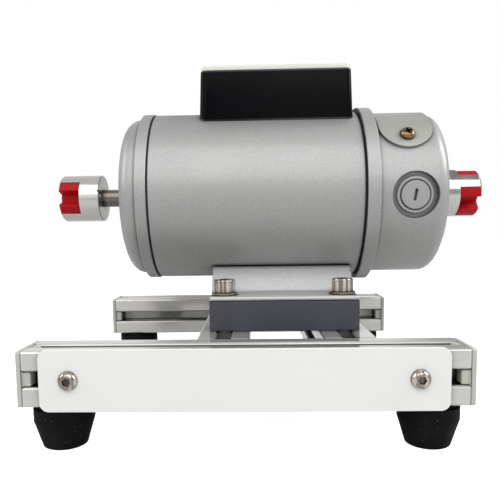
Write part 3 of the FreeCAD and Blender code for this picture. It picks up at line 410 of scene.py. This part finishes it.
plainTurning = {
    # reach and dark set the painted shade in crevices
    "tint": 0.06, "spread": 0.1, "along": 0.02, "cloud": 120, "bump": (0.05, 0.0001), "reach": 0.003, "dark": 0.3,
}
turnings = {
    "groundSteel": {"color": linear(114, 106, 99), "rough": 0.15, "lines": 1600},
    "coreSteel": {"color": linear(110, 110, 112), "rough": 0.4, "lines": 2600},
    "hubAluminium": {"color": linear(198, 196, 193), "rough": 0.12, "lines": 2200},
}


def turned(name):
    # lathe marks: lines round the shaft's direction, and painted shade in crevices
    look = plainTurning | turnings[name]
    finish = Finish(name, {"Metallic": 1.0})
    marks = finish.noise(look["lines"], 2.0, 0.5, (1.0, look["along"], look["along"]))
    cloud = finish.noise(look["cloud"], 3.0)
    tone = finish.tint(look["color"], finish.even(marks), look["tint"])
    finish.feed("Base Color", finish.paintedCreviceShade(tone, look["reach"], look["dark"]))
    finish.feed("Roughness", finish.even(cloud, look["rough"], look["rough"] + look["spread"]))
    finish.bump(marks, *look["bump"])
    return finish.material


# plated and bare small metal pieces; plainPlating holds what they share

plainPlating = {
    "tint": 0.08,
    "spread": 0.1,
    "mottle": 420,
    "bump": (0.08, 0.0001),
    # reach and dark set the painted shade in recesses, such as the sockets of the screw heads
    "reach": 0.0032,
    "dark": 0.05,
    # the upright streaks below are painted reflections, dark bands in the plating's colour
    "drawn": 0.0,  # how much of the dark tone upright streaks take
    "streak": 520,
    "streakAlong": 0.03,
    "streakSpan": (0.44, 0.56),
    "streakTone": 0.12,
}
platings = {
    "castBracket": {"color": linear(150, 150, 148), "rough": 0.42},
    "nickel": {"color": linear(206, 196, 186), "rough": 0.06, "drawn": 0.6},
    "drawnNickel": {"color": linear(216, 208, 198), "rough": 0.14, "drawn": 0.75},
    "washerNickel": {"color": linear(150, 136, 122), "rough": 0.16},
    "yellowZinc": {"color": linear(136, 113, 77), "rough": 0.16},
    "zinc": {"color": linear(160, 160, 158), "rough": 0.34},
    "brass": {"color": linear(208, 176, 104), "rough": 0.24},
    "springSteel": {"color": linear(150, 150, 150), "rough": 0.28},
}


def plated(name):
    # bright plating with a faint mottle, dark upright streaks as painted reflections where asked, and painted
    # shade in recesses
    look = plainPlating | platings[name]
    finish = Finish(name, {"Metallic": 1.0})
    mottle = finish.noise(look["mottle"], 3.0)
    tone = finish.tint(look["color"], mottle, look["tint"])
    if look["drawn"]:
        lines = finish.noise(look["streak"], 1.0, 0.4, (1.0, 1.0, look["streakAlong"]))
        dark = tuple(part * look["streakTone"] for part in look["color"]) + (1,)
        tone = finish.blend(finish.range(lines, *look["streakSpan"]) * look["drawn"], tone, dark)
    finish.feed("Base Color", finish.paintedCreviceShade(tone, look["reach"], look["dark"]))
    finish.feed("Roughness", finish.even(mottle, look["rough"], look["rough"] + look["spread"]))
    finish.bump(mottle, *look["bump"])
    return finish.material


# windings

wireLook = {
    "color": linear(190, 106, 66),
    "tint": 0.25,
    "wires": 1100,
    "along": 0.04,
    "cloud": 90,
    "rough": (0.28, 0.42),
    "bump": (0.5, 0.0004),
}


def copperWire():
    # enamelled wire lying side by side round the shaft
    look = wireLook
    finish = Finish("copperWire", {"Metallic": 0.9})
    wires = finish.noise(look["wires"], 1.0, 0.3, (1.0, look["along"], look["along"]))
    cloud = finish.noise(look["cloud"], 3.0)
    shade = finish.range(wires + cloud * 0.4, 0.4, 1.0)
    finish.feed("Base Color", finish.tint(look["color"], shade, look["tint"]))
    finish.feed("Roughness", finish.even(cloud, *look["rough"]))
    finish.bump(wires, *look["bump"])
    return finish.material


# coupling cushions

cushionLook = {
    "color": linear(176, 4, 20),
    "tint": 0.10,
    "shine": 0.2,
    "rough": (0.42, 0.52),
    "cloud": 160,
    "texture": 600,
    "bump": (0.06, 0.0002),
}


def softRed():
    # moulded polyurethane, slightly waxy
    look = cushionLook
    finish = Finish("softRed", {"IOR": 1.48, "Specular IOR Level": look["shine"]})
    cloud = finish.noise(look["cloud"], 3.0)
    finish.feed("Base Color", finish.tint(look["color"], cloud, look["tint"]))
    finish.feed("Roughness", finish.even(cloud, *look["rough"]))
    finish.bump(finish.noise(look["texture"], 2.0), *look["bump"])
    return finish.material


# one finish for each slot of the record, then the pieces that differ from their slot

silver = silverPaint("silverPaint", linear(163, 163, 162))
finishes = {
    "silver_paint": silver,
    "silver_casting": silver,
    "cover_paint": silverPaint("coverPaint", linear(164, 166, 159)),
    "cap_grey": moulded("capGrey"),
    "anodised_profile": anodised("anodisedAlongX", 0),
    "grey_caps": moulded("capBeige"),
    "cast_bracket": plated("castBracket"),
    "plated_screws": plated("nickel"),
    "yellow_screws": plated("yellowZinc"),
    "slot_nut_steel": plated("zinc"),
    "white_plate": whitePlate(),
    "black_rubber": blackRubber(),
    "grey_pvc": sheetPlastic(),
    "black_gasket": moulded("gasketBlack"),
    "ground_steel": turned("groundSteel"),
    "core_steel": turned("coreSteel"),
    "copper": copperWire(),
    "brass": plated("brass"),
    "carbon": moulded("graphite"),
    "spring_steel": plated("springSteel"),
    "box_black": moulded("boxBlack"),
    "lid_cream": moulded("lidCream"),
    "socket_red": moulded("socketRed"),
    "socket_black": moulded("socketBlack"),
    "hub_aluminium": turned("hubAluminium"),
    "spider_red": softRed(),
}
finishOf = {node: finishes[slot] for node, slot in slotOf.items()}
# the motor feet get a lighter copy of the silver paint: painted light, brightening their faces
finishOf["motor_foot_front"] = finishOf["motor_foot_rear"] = silverPaint("footPaint", linear(192, 192, 192))
finishOf["left_cross_rail"] = finishOf["right_cross_rail"] = anodised("anodisedAlongY", 1)
# the foot screws' plating carries stronger painted reflection streaks
finishOf["foot_screws"] = plated("drawnNickel")
finishOf["foot_washers"] = plated("washerNickel")
for node, material in finishOf.items():
    slots = nodes[node].data.materials
    for index in range(len(slots)):
        slots[index] = material
print("finishes on", len(finishOf), "nodes")


# making pieces

meshCare = {"weld": 0.003, "flat": 0.4, "close": 0.001}  # mm, degrees, mm

# faces with a hole in them stay as triangles on these, and their bevels are held back from each other
piercedPieces = (
    "coupling_hub_drive_end", "coupling_hub_brush_end", "coupling_spider_drive_end", "coupling_spider_brush_end",
    "corner_brackets", "field_coil_top", "field_coil_bottom", "armature_winding", "terminal_box",
    "slot_nuts_m8", "inspection_cover",
)


def merged(node):
    # a copy of a CAD node's mesh, closed, with its flat triangles joined where no hole splits a face
    bm = bmesh.new()
    bm.from_mesh(nodes[node].data)
    bmesh.ops.remove_doubles(bm, verts=bm.verts, dist=meshCare["weld"] * mm)
    if node not in piercedPieces:
        flat = math.radians(meshCare["flat"])
        bmesh.ops.dissolve_limit(bm, angle_limit=flat, verts=bm.verts, edges=bm.edges)
    return bm


def addPiece(name, bm, node, replaced, sharp):
    # a bmesh made one piece in the place of a CAD node, with its finish and body;
    # edges that bend by more than sharp degrees keep a hard shade
    mesh = bpy.data.meshes.new(name)
    bm.to_mesh(mesh)
    bm.free()
    mesh.materials.append(finishOf[node])
    for polygon in mesh.polygons:
        polygon.use_smooth = True
    mesh.set_sharp_from_angle(angle=math.radians(sharp))
    piece = bpy.data.objects.new(name, mesh)
    bpy.context.scene.collection.objects.link(piece)
    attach(piece, bodyOf[node])
    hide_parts(*replaced)
    return piece


def closeUp(bm):
    bmesh.ops.remove_doubles(bm, verts=bm.verts, dist=meshCare["close"] * mm)
    bmesh.ops.recalc_face_normals(bm, faces=bm.faces)


def joinIn(bm, one):
    # move one bmesh's shape into another
    held = bpy.data.meshes.new("held")
    one.to_mesh(held)
    one.free()
    bm.from_mesh(held)
    bpy.data.meshes.remove(held)


def camel(node):
    first, *rest = node.split("_")
    return first + "".join(word.capitalize() for word in rest)


def flatten(piece):
    # flat faces keep flat shading beside small rounded ones
    flat = piece.modifiers.new("flatFaces", "WEIGHTED_NORMAL")
    flat.weight = 80
    flat.keep_sharp = True


# softened edges: widths in mm, on the edges that bend by more than the angle

edgeShape = {"segments": 2, "angle": 30, "sharp": 180}
edgeWidths = {
    "front_rail": 0.25, "rear_rail": 0.25, "left_cross_rail": 0.25, "right_cross_rail": 0.25,
    "rail_end_caps": 0.8, "corner_brackets": 0.6, "front_plate": 0.35,
    "riser_front": 0.35, "riser_rear": 0.35, "motor_foot_front": 1.0, "motor_foot_rear": 1.0,
    "inspection_cover": 0.35, "terminal_lid": 0.6, "terminal_box": 0.8,
    "coupling_hub_drive_end": 0.25, "coupling_hub_brush_end": 0.25,
    "coupling_spider_drive_end": 0.7, "coupling_spider_brush_end": 0.7,
    "slot_nuts_m6": 0.3, "slot_nuts_m8": 0.3, "foot_washers": 0.25, "rubber_foot_washers": 0.25,
    "brush_holders": 0.2, "brush_front": 0.3, "brush_rear": 0.3, "armature_core": 0.15,
    "socket_nuts": 0.2, "shaft_keys": 0.2, "yoke": 0.3, "bell_gaskets": 0.2,
    "sockets_red": 0.3, "sockets_black": 0.3, "socket_contacts": 0.2, "shaft": 0.2,
    "bearing_outer_rings": 0.3, "bearing_inner_rings": 0.3, "pole_pieces": 0.4,
    "field_coil_top": 0.8, "field_coil_bottom": 0.8, "armature_winding": 0.2,
}


def soften(node, width):
    # the CAD piece with its sharp edges rounded
    piece = addPiece(camel(node), merged(node), node, [node], edgeShape["sharp"])
    edge = piece.modifiers.new("edges", "BEVEL")
    edge.width = width * mm
    edge.segments = edgeShape["segments"]
    edge.limit_method = "ANGLE"
    edge.angle_limit = math.radians(edgeShape["angle"])
    edge.use_clamp_overlap = node in piercedPieces
    flatten(piece)


for node, width in edgeWidths.items():
    soften(node, width)
print("edges softened on", len(edgeWidths), "pieces")


def solidsOf(node):
    # the points of each separate solid of a CAD node, in the order of its mesh
    bm = merged(node)
    seen = set()
    solids = []
    for first in bm.verts:
        if first in seen:
            continue
        seen.add(first)
        group = [first]
        for vert in group:
            for edge in vert.link_edges:
                other = edge.other_vert(vert)
                if other not in seen:
                    seen.add(other)
                    group.append(other)
        solids.append([vert.co.copy() for vert in group])
    bm.free()
    return solids


def standing(points, ways, height):
    # the place of a screw in a CAD solid: +Z towards its head, z = 0 the head's height below the solid's top
    def spread(way, keep):
        # centre and radius across the way, over the points that keep allows
        side = way.orthogonal().normalized()
        other = way.cross(side)
        kept = [point for point in points if keep(point.dot(way))]
        spans = []
        for axis in (side, other):
            along = [point.dot(axis) for point in kept]
            spans.append((min(along), max(along), axis))
        middle = sum(((low + high) / 2 * axis for low, high, axis in spans), Vector())
        return middle, max(high - low for low, high, _ in spans)

    best = min(ways, key=lambda way: spread(way, lambda _: True)[1])
    levels = [point.dot(best) for point in points]
    half = (min(levels) + max(levels)) / 2
    if spread(best, lambda level: level > half)[1] < spread(best, lambda level: level < half)[1]:
        best = -best
    top = max(point.dot(best) for point in points)
    middle = spread(best, lambda _: True)[0]
    turn = Vector((0, 0, 1)).rotation_difference(best).to_matrix().to_4x4()
    return Matrix.Translation(middle + best * (top - height * mm)) @ turn


yokeLow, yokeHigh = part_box("yoke")
shaftLine = Vector((0, (yokeLow.y + yokeHigh.y) / 2, (yokeLow.z + yokeHigh.z) / 2))


def outwards(points):
    # the way straight out from the shaft to some points, and the point of the shaft's line that it starts at
    middle = sum(points, Vector()) / len(points)
    way = Vector((0, middle.y - shaftLine.y, middle.z - shaftLine.z)).normalized()
    lows = min(point.x for point in points)
    highs = max(point.x for point in points)
    return way, Vector(((lows + highs) / 2, shaftLine.y, shaftLine.z))


# screws, stacked ring by ring from the bottom of the key's recess

ringSteps = 48


def hexLoop(bm, size):
    bmesh.ops.create_circle(bm, segments=6, radius=size * mm / math.sqrt(3))
    bmesh.ops.subdivide_edges(bm, edges=list(bm.edges), cuts=ringSteps // 6 - 1)
    return list(bm.edges)


crossArm = 0.26  # half width of a cross recess's arm, as a share of its reach


def crossLoop(bm, size):
    # a cross recess with four equal arms
    made = bmesh.ops.create_circle(bm, segments=12, radius=1)
    bmesh.ops.rotate(bm, verts=made["verts"], matrix=Matrix.Rotation(math.radians(15), 3, "Z"))
    reach = size * mm / 2
    for vert in made["verts"]:
        x, y = vert.co.x, vert.co.y
        wide = reach if abs(x) > 1.5 * abs(y) else reach * crossArm
        tall = reach if abs(y) > 1.5 * abs(x) else reach * crossArm
        vert.co = (math.copysign(wide, x), math.copysign(tall, y), 0)
    bmesh.ops.subdivide_edges(bm, edges=list(bm.edges), cuts=ringSteps // 12 - 1)
    return list(bm.edges)


def slotLoop(bm, length, width):
    # a slot with round ends; each point stays on its own ray from the centre
    made = bmesh.ops.create_circle(bm, segments=2 * ringSteps, radius=1)
    end = (length - width) / 2
    for vert in made["verts"]:
        x, y = abs(vert.co.x), abs(vert.co.y)
        across = end * y + math.sqrt(max(0, (width / 2) ** 2 - (end * x) ** 2))
        reach = min(across, width / 2 / max(x, 0.001)) if end * x < width / 2 else width / 2 / x
        vert.co *= reach * mm
    return list(bm.edges)


def stackRings(bm, loop, rings):
    # grow the skin from a closed loop, one (radius, height) ring at a time, in mm;
    # a radius of None lifts the loop as it is, and a third value cuts knurls that deep
    for radius, height, *knurl in rings:
        grown = bmesh.ops.extrude_edge_only(bm, edges=loop)["geom"]
        verts = {item for item in grown if isinstance(item, bmesh.types.BMVert)}
        loop = [
            item for item in grown
            if isinstance(item, bmesh.types.BMEdge) and all(vert in verts for vert in item.verts)
        ]
        for vert in verts:
            across = Vector((vert.co.x, vert.co.y, 0))
            if radius is not None:
                step = round(math.atan2(across.y, across.x) / math.tau * ringSteps)
                cut = knurl[0] if knurl and step % 2 else 0.0
                across = across.normalized() * (radius - cut) * mm
            vert.co = (across.x, across.y, height * mm)
    return loop


threadShape = {"depth": 0.55, "root": (0.35, 0.45), "crest": (0.8, 1.0)}  # all as shares of the pitch


def threadRings(radius, start, end, pitch):
    # roots and crests down a shank
    inner = radius - threadShape["depth"] * pitch
    rings = []
    for turn in range(int((start - end) / pitch)):
        level = start - turn * pitch
        rings += [(inner, level - share * pitch) for share in threadShape["root"]]
        rings += [(radius, level - share * pitch) for share in threadShape["crest"]]
    return rings


def fillLoop(bm, loop, point):
    # close a loop with a fan to a point on the axis
    face = bmesh.ops.contextual_create(bm, geom=loop)["faces"]
    centre = bmesh.ops.poke(bm, faces=face)["verts"][0]
    centre.co = (0, 0, point * mm)


# sizes in mm; each head is a list of (radius, height, knurl), from the recess's edge to the underside

m6Head = [
    (3.4, 6.0), (4.5, 6.0), (4.85, 5.8), (5.0, 5.4), (5.0, 4.9, 0.0), (5.0, 4.8, 0.25), (5.0, 0.8, 0.25),
    (5.0, 0.6), (5.0, 0.3), (4.8, 0.0),
]
screwKinds = {
    "foot_screws": {
        "tool": (hexLoop, 6.0), "depth": 4.0, "height": 8.0, "shank": 8.0, "pitch": 1.25, "length": 29.0,
        "head": [
            (4.3, 8.0), (5.9, 8.0), (6.3, 7.8), (6.5, 7.4), (6.5, 6.6), (6.5, 6.4, 0.3), (6.5, 1.0, 0.3),
            (6.5, 0.8), (6.5, 0.3), (6.25, 0.0),
        ],
    },
    "bracket_screws": {
        "tool": (hexLoop, 5.0), "depth": 3.0, "height": 6.0, "shank": 6.0, "pitch": 1.0, "length": 11.0,
        "head": m6Head,
    },
    "rubber_foot_screws": {
        "tool": (hexLoop, 5.0), "depth": 3.0, "height": 6.0, "shank": 6.0, "pitch": 1.0, "length": 20.0,
        "head": m6Head,
    },
    "plate_screws": {
        "tool": (hexLoop, 4.0), "depth": 2.1, "height": 3.3, "shank": 6.0, "pitch": 1.0, "length": 9.0,
        "head": [
            (2.45, 3.25), (2.8, 3.3), (3.35, 3.12), (3.9, 2.75), (4.4, 2.25), (4.8, 1.6), (5.05, 1.05),
            (5.2, 0.6), (5.25, 0.25), (5.2, 0.0),
        ],
    },
    "tie_bolts": {
        "tool": (hexLoop, 3.0), "depth": 1.7, "height": 2.75, "shank": 5.0, "pitch": 0.8, "length": 202.5,
        "thread": 14.0,
        "head": [
            (1.9, 2.7), (2.3, 2.75), (3.1, 2.5), (3.8, 2.0), (4.35, 1.3), (4.65, 0.7), (4.75, 0.25), (4.7, 0.0),
        ],
    },
    "cover_screws": {
        "tool": (crossLoop, 4.9), "depth": 2.0, "height": 3.2, "shank": 5.0, "pitch": 0.8, "length": 9.0,
        "head": [
            (2.6, 3.12), (3.1, 2.95), (3.6, 2.6), (4.05, 2.1), (4.4, 1.5), (4.58, 0.9), (4.6, 0.35), (4.5, 0.0),
        ],
    },
    "box_screws": {
        "tool": (crossLoop, 4.0), "depth": 1.6, "height": 2.6, "shank": 4.0, "pitch": 0.7, "length": 8.0,
        "head": [(2.1, 2.5), (2.7, 2.3), (3.2, 1.8), (3.55, 1.1), (3.7, 0.5), (3.65, 0.0)],
    },
    "pole_screws": {
        "tool": (hexLoop, 4.0), "depth": 1.9, "height": 0.0, "shank": 6.0, "pitch": 1.0, "length": 14.0,
        "head": [(2.6, 0.0), (5.5, 0.0), (5.7, -0.15), (5.7, -0.35), (3.0, -3.2)],
    },
    "lid_screws": {
        "tool": (crossLoop, 2.6), "depth": 1.1, "height": 0.0, "shank": 3.0, "pitch": 0.5, "length": 10.0,
        "head": [(1.5, 0.0), (2.7, 0.0), (2.8, -0.12), (2.8, -0.32), (1.5, -1.7)],
    },
}
screwShape = {
    "recessPoint": 0.12,  # depth of the recess's point as a share of the tool's size
    "neck": 0.2,
    "plainTip": 1.0,
    "chamfer": 0.8,
    "twist": 17.0,  # degrees, so that the screws of a group don't all stand the same way
    "sharp": 50,
}


def oneScrew(kind):
    # tip downwards, underside of the head at z = 0, a flush head's top at z = 0
    bm = bmesh.new()
    shape, size = kind["tool"]
    loop = shape(bm, size)
    floor = kind["height"] - kind["depth"]
    bmesh.ops.translate(bm, verts=bm.verts, vec=(0, 0, floor * mm))
    fillLoop(bm, loop, floor - screwShape["recessPoint"] * size)
    top = kind["head"][0][1]
    radius = kind["shank"] / 2
    low = min(ring[1] for ring in kind["head"])
    tip = -kind["length"]
    start = min(low - screwShape["neck"], tip + kind.get("thread", kind["length"]))
    rings = [(None, top)] + kind["head"] + [(radius, low), (radius, start)]
    rings += threadRings(radius, start, tip + screwShape["plainTip"], kind["pitch"])
    rings += [(radius, tip + screwShape["chamfer"]), (radius - screwShape["chamfer"], tip)]
    fillLoop(bm, stackRings(bm, loop, rings), tip)
    return bm


def addScrews(node, kind):
    # one detailed screw in the place of each solid of the node
    model = oneScrew(kind)
    closeUp(model)
    single = bpy.data.meshes.new("screwModel")
    model.to_mesh(single)
    model.free()
    bm = bmesh.new()
    for points in solidsOf(node):
        ways = [Vector((1, 0, 0)), Vector((0, 1, 0)), Vector((0, 0, 1))]
        if node == "cover_screws":
            ways = [outwards(points)[0]]
        place = standing(points, ways, kind["height"])
        before = len(bm.verts)
        bm.from_mesh(single)
        bm.verts.ensure_lookup_table()
        turn = Matrix.Rotation(math.radians(screwShape["twist"] * (1 + before % 5)), 4, "Z")
        bmesh.ops.transform(bm, matrix=place @ turn, verts=bm.verts[before:])
    bpy.data.meshes.remove(single)
    flatten(addPiece(camel(node), bm, node, [node], screwShape["sharp"]))


for node, kind in screwKinds.items():
    addScrews(node, kind)
print("screws done")


# rubber feet

footShape = {
    "outside": [
        (14.7, 24.5), (14.7, 22.1), (15.7, 22.1), (16.15, 21.9), (16.35, 21.4), (16.35, 18.4), (16.45, 18.25),
        (16.35, 18.1), (16.35, 14.8), (16.25, 14.3), (16.0, 13.6), (12.1, 0.9), (11.85, 0.3), (11.3, 0.0),
    ],
    "well": [(6.5, 0.0), (6.5, 12.0)],
    "steps": 72,
    "sharp": 50,
}


def turnedRing(profile, steps):
    # a closed outline of (radius, height) points in mm turned round the z axis
    bm = bmesh.new()
    points = [bm.verts.new((radius * mm, 0, height * mm)) for radius, height in profile]
    edges = [bm.edges.new((points[index - 1], points[index])) for index in range(len(points))]
    bmesh.ops.spin(
        bm, geom=points + edges, cent=(0, 0, 0), axis=(0, 0, 1), angle=math.tau, steps=steps, use_merge=True,
    )
    closeUp(bm)
    return bm


def addFeet():
    # the hole keeps the CAD solid's size
    bm = bmesh.new()
    top = footShape["outside"][0][1]
    wellTop = footShape["well"][-1][1]
    for points in solidsOf("rubber_feet"):
        middle = sum(points, Vector()) / len(points)
        base = Vector((middle.x, middle.y, min(point.z for point in points)))
        hole = min((point - base).to_2d().length for point in points) / mm
        profile = footShape["outside"] + footShape["well"] + [(hole, wellTop), (hole, top)]
        one = turnedRing(profile, footShape["steps"])
        bmesh.ops.translate(one, verts=one.verts, vec=base)
        joinIn(bm, one)
    flatten(addPiece("rubberFeet", bm, "rubber_feet", ["rubber_feet"], footShape["sharp"]))


addFeet()
print("rubber feet done")


# brush caps and springs

# heights are out from the shaft's line, and lean turns the slot
capRings = {
    "tool": (slotLoop, 7.4, 2.0),
    "floor": 48.4,
    "disc": [
        (None, 51.75), (8.2, 51.8), (8.5, 51.74), (8.68, 51.55), (8.7, 51.2), (8.75, 50.35), (8.95, 50.2),
        (9.2, 50.2), (9.4, 50.35), (9.45, 50.85), (9.6, 51.0), (10.7, 51.0), (11.0, 50.85), (11.1, 50.6),
        (11.1, 49.0), (6.0, 49.0), (6.0, 45.3), (5.7, 45.0),
    ],
    "base": 45.0,
    "lean": 10.0,
    "sharp": 32,
}


def outFrame(points, lean):
    # local +Z out from the shaft, local +Y up along it, turned by lean
    way, foot = outwards(points)
    up = (Vector((0, 0, 1)) - way * way.z).normalized()
    side = up.cross(way)
    turn = Matrix((side, up, way)).transposed().to_4x4()
    return Matrix.Translation(foot) @ turn @ Matrix.Rotation(-math.radians(lean), 4, "Z")


def addCaps():
    bm = bmesh.new()
    for points in solidsOf("brush_caps"):
        one = bmesh.new()
        shape, *size = capRings["tool"]
        loop = shape(one, *size)
        floor = capRings["floor"]
        bmesh.ops.translate(one, verts=one.verts, vec=(0, 0, floor * mm))
        fillLoop(one, loop, floor)
        fillLoop(one, stackRings(one, loop, capRings["disc"]), capRings["base"])
        closeUp(one)
        bmesh.ops.transform(one, matrix=outFrame(points, capRings["lean"]), verts=one.verts)
        joinIn(bm, one)
    addPiece("brushCaps", bm, "brush_caps", ["brush_caps"], capRings["sharp"])


springPlan = {
    "radius": 3.0,
    "wire": 0.4,
    "wireSides": 10,
    "low": 36.55,
    "high": 44.5,
    "turns": 5,
    "steps": 32,
    "keep": 0.66,  # share of its length that is left when the brush is fully out
    "sharp": 40,
}


def addSpring(node):
    # wire swept round the brush's axis
    plan = springPlan
    way, foot = outwards([nodes[node].matrix_world @ vert.co for vert in nodes[node].data.vertices])
    bm = bmesh.new()
    made = bmesh.ops.create_circle(bm, segments=plan["wireSides"], radius=plan["wire"] * mm)
    upright = Matrix.Translation((plan["radius"] * mm, 0, plan["low"] * mm)) @ Matrix.Rotation(math.pi / 2, 4, "X")
    bmesh.ops.transform(bm, matrix=upright, verts=made["verts"])
    start = list(bm.edges)
    count = plan["turns"] * plan["steps"]
    climb = (plan["high"] - plan["low"]) / count * mm
    wound = bmesh.ops.spin(
        bm, geom=list(bm.verts) + list(bm.edges), cent=(0, 0, 0), axis=(0, 0, 1), dvec=(0, 0, climb),
        angle=math.tau * plan["turns"], steps=count,
    )
    last = [item for item in wound["geom_last"] if isinstance(item, bmesh.types.BMEdge)]
    bmesh.ops.contextual_create(bm, geom=start)
    bmesh.ops.contextual_create(bm, geom=last)
    closeUp(bm)
    turn = Vector((0, 0, 1)).rotation_difference(way).to_matrix().to_4x4()
    bmesh.ops.transform(bm, matrix=Matrix.Translation(foot) @ turn, verts=bm.verts)
    piece = addPiece(camel(node), bm, node, [node], plan["sharp"])
    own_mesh(piece)


addCaps()
addSpring("brush_spring_front")
addSpring("brush_spring_rear")
print("brush caps and springs done")


# stage

lampAim = (0, 0, 0.12)
lampPlan = {
    "top": {"size": (1.7, 1.2), "at": (-0.1, -0.98, 1.07), "watts": 12.1},
    "left": {"size": (0.5, 0.7), "at": (-1.15, -0.2, 0.7), "watts": 4},
    "right": {"size": (0.5, 0.7), "at": (1.05, -0.15, 0.85), "watts": 8},
}


def studioLights():
    for name, plan in lampPlan.items():
        light = bpy.data.lights.new(name + "Light", "AREA")
        light.shape = "RECTANGLE"
        light.size, light.size_y = plan["size"]
        light.energy = plan["watts"]
        lamp = bpy.data.objects.new(name + "Light", light)
        lamp.location = plan["at"]
        aim = Vector(lampAim) - Vector(plan["at"])
        lamp.rotation_euler = aim.to_track_quat("-Z", "Y").to_euler()
        bpy.context.scene.collection.objects.link(lamp)


roomPlan = {
    "plain": 0.42,  # the world's level for all light but gloss
    "front": 1.0,  # the gloss room's level towards the viewer
    "back": 0.7,
    "depth": (-0.8, 0.25),  # directions between which front turns into back
    "lean": 0.9,  # how much a direction's height counts in that
    "panelStep": 0.22,
    "panelShift": 0.08,
    "panelEdge": (0.05, 0.13),
    "panelShare": 0.7,
    "gapShare": 0.45,
}


def paleWorld():
    # white behind the object, a plain level for its light, and a room with upright panels for gloss
    room = roomPlan
    world = bpy.data.worlds.new("paleWorld")
    world.use_nodes = True
    bpy.context.scene.world = world
    sky = Craft(world.node_tree)
    back = sky.tree.nodes["Background"]
    way = sky.node("ShaderNodeTexCoord", output="Generated")
    x, y, z = (sky.node("ShaderNodeSeparateXYZ", None, {0: way}, axis) for axis in "XYZ")
    fold = {0: x + room["panelShift"], 1: room["panelStep"]}
    panels = sky.range(sky.node("ShaderNodeMath", {"operation": "PINGPONG"}, fold), *room["panelEdge"])
    depth = sky.range(y + room["lean"] * z, *room["depth"], room["front"], room["back"])
    shine = depth * (room["gapShare"] + room["panelShare"] * panels)
    seen, through, gloss = (
        sky.node("ShaderNodeLightPath", output=ray)
        for ray in ("Is Camera Ray", "Is Transmission Ray", "Is Glossy Ray")
    )
    plain = (1 - gloss) * room["plain"] + gloss * shine
    white = sky.node("ShaderNodeMath", {"operation": "MAXIMUM"}, {0: seen, 1: through})
    sky.plug(back.inputs["Strength"], white + (1 - white) * plain)
    back.inputs["Color"].default_value = (1, 1, 1, 1)


floorLook = {"color": (0.66, 0.66, 0.66, 1), "rough": 0.8, "white": 0.88, "gloss": 0.10, "size": 4.0}


def paleFloor():
    # nearly white to the camera and in gloss, with the object's shadow kept
    bm = bmesh.new()
    bmesh.ops.create_grid(bm, x_segments=1, y_segments=1, size=floorLook["size"])
    mesh = bpy.data.meshes.new("floor")
    bm.to_mesh(mesh)
    bm.free()
    floor = bpy.data.objects.new("floor", mesh)
    bpy.context.scene.collection.objects.link(floor)
    finish = Finish("floorPaper", {"Base Color": floorLook["color"], "Roughness": floorLook["rough"]})
    seen = finish.node("ShaderNodeLightPath", output="Is Camera Ray")
    gloss = finish.node("ShaderNodeLightPath", output="Is Glossy Ray")
    finish.shader.inputs["Emission Color"].default_value = (1, 1, 1, 1)
    lift = seen * floorLook["white"] + gloss * floorLook["gloss"]
    finish.plug(finish.shader.inputs["Emission Strength"], lift)
    mesh.materials.append(finish.material)


cameraPlan = {
    "at": (-0.01013, -0.39693, 0.11857),
    "yaw": -0.0294,
    "pitch": -0.0972,
    "roll": -0.0135,
    "lens": 40.295,
    "shift": (0.0252, 0.0589),
    "sensor": 36.0,
    "clip": (0.01, 50.0),
}


def studioCamera():
    # yaw, pitch and roll in radians, from a level look along +Y
    yaw, pitch, roll = (cameraPlan[key] for key in ("yaw", "pitch", "roll"))
    ahead = Vector((math.sin(yaw) * math.cos(pitch), math.cos(yaw) * math.cos(pitch), math.sin(pitch)))
    level = Vector((math.cos(yaw), -math.sin(yaw), 0))
    top = level.cross(ahead)
    across = level * math.cos(roll) + top * math.sin(roll)
    upward = top * math.cos(roll) - level * math.sin(roll)
    turn = Matrix((across, upward, -ahead)).transposed()
    data = bpy.data.cameras.new("studioCamera")
    data.sensor_width = cameraPlan["sensor"]
    data.lens = cameraPlan["lens"]
    data.shift_x, data.shift_y = cameraPlan["shift"]
    data.clip_start, data.clip_end = cameraPlan["clip"]
    camera = bpy.data.objects.new("studioCamera", data)
    camera.matrix_world = Matrix.Translation(cameraPlan["at"]) @ turn.to_4x4()
    bpy.context.scene.collection.objects.link(camera)
    bpy.context.scene.camera = camera


paleWorld()
paleFloor()
studioLights()
studioCamera()
bpy.context.scene.view_settings.view_transform = "Standard"
print("stage, lights and camera done")
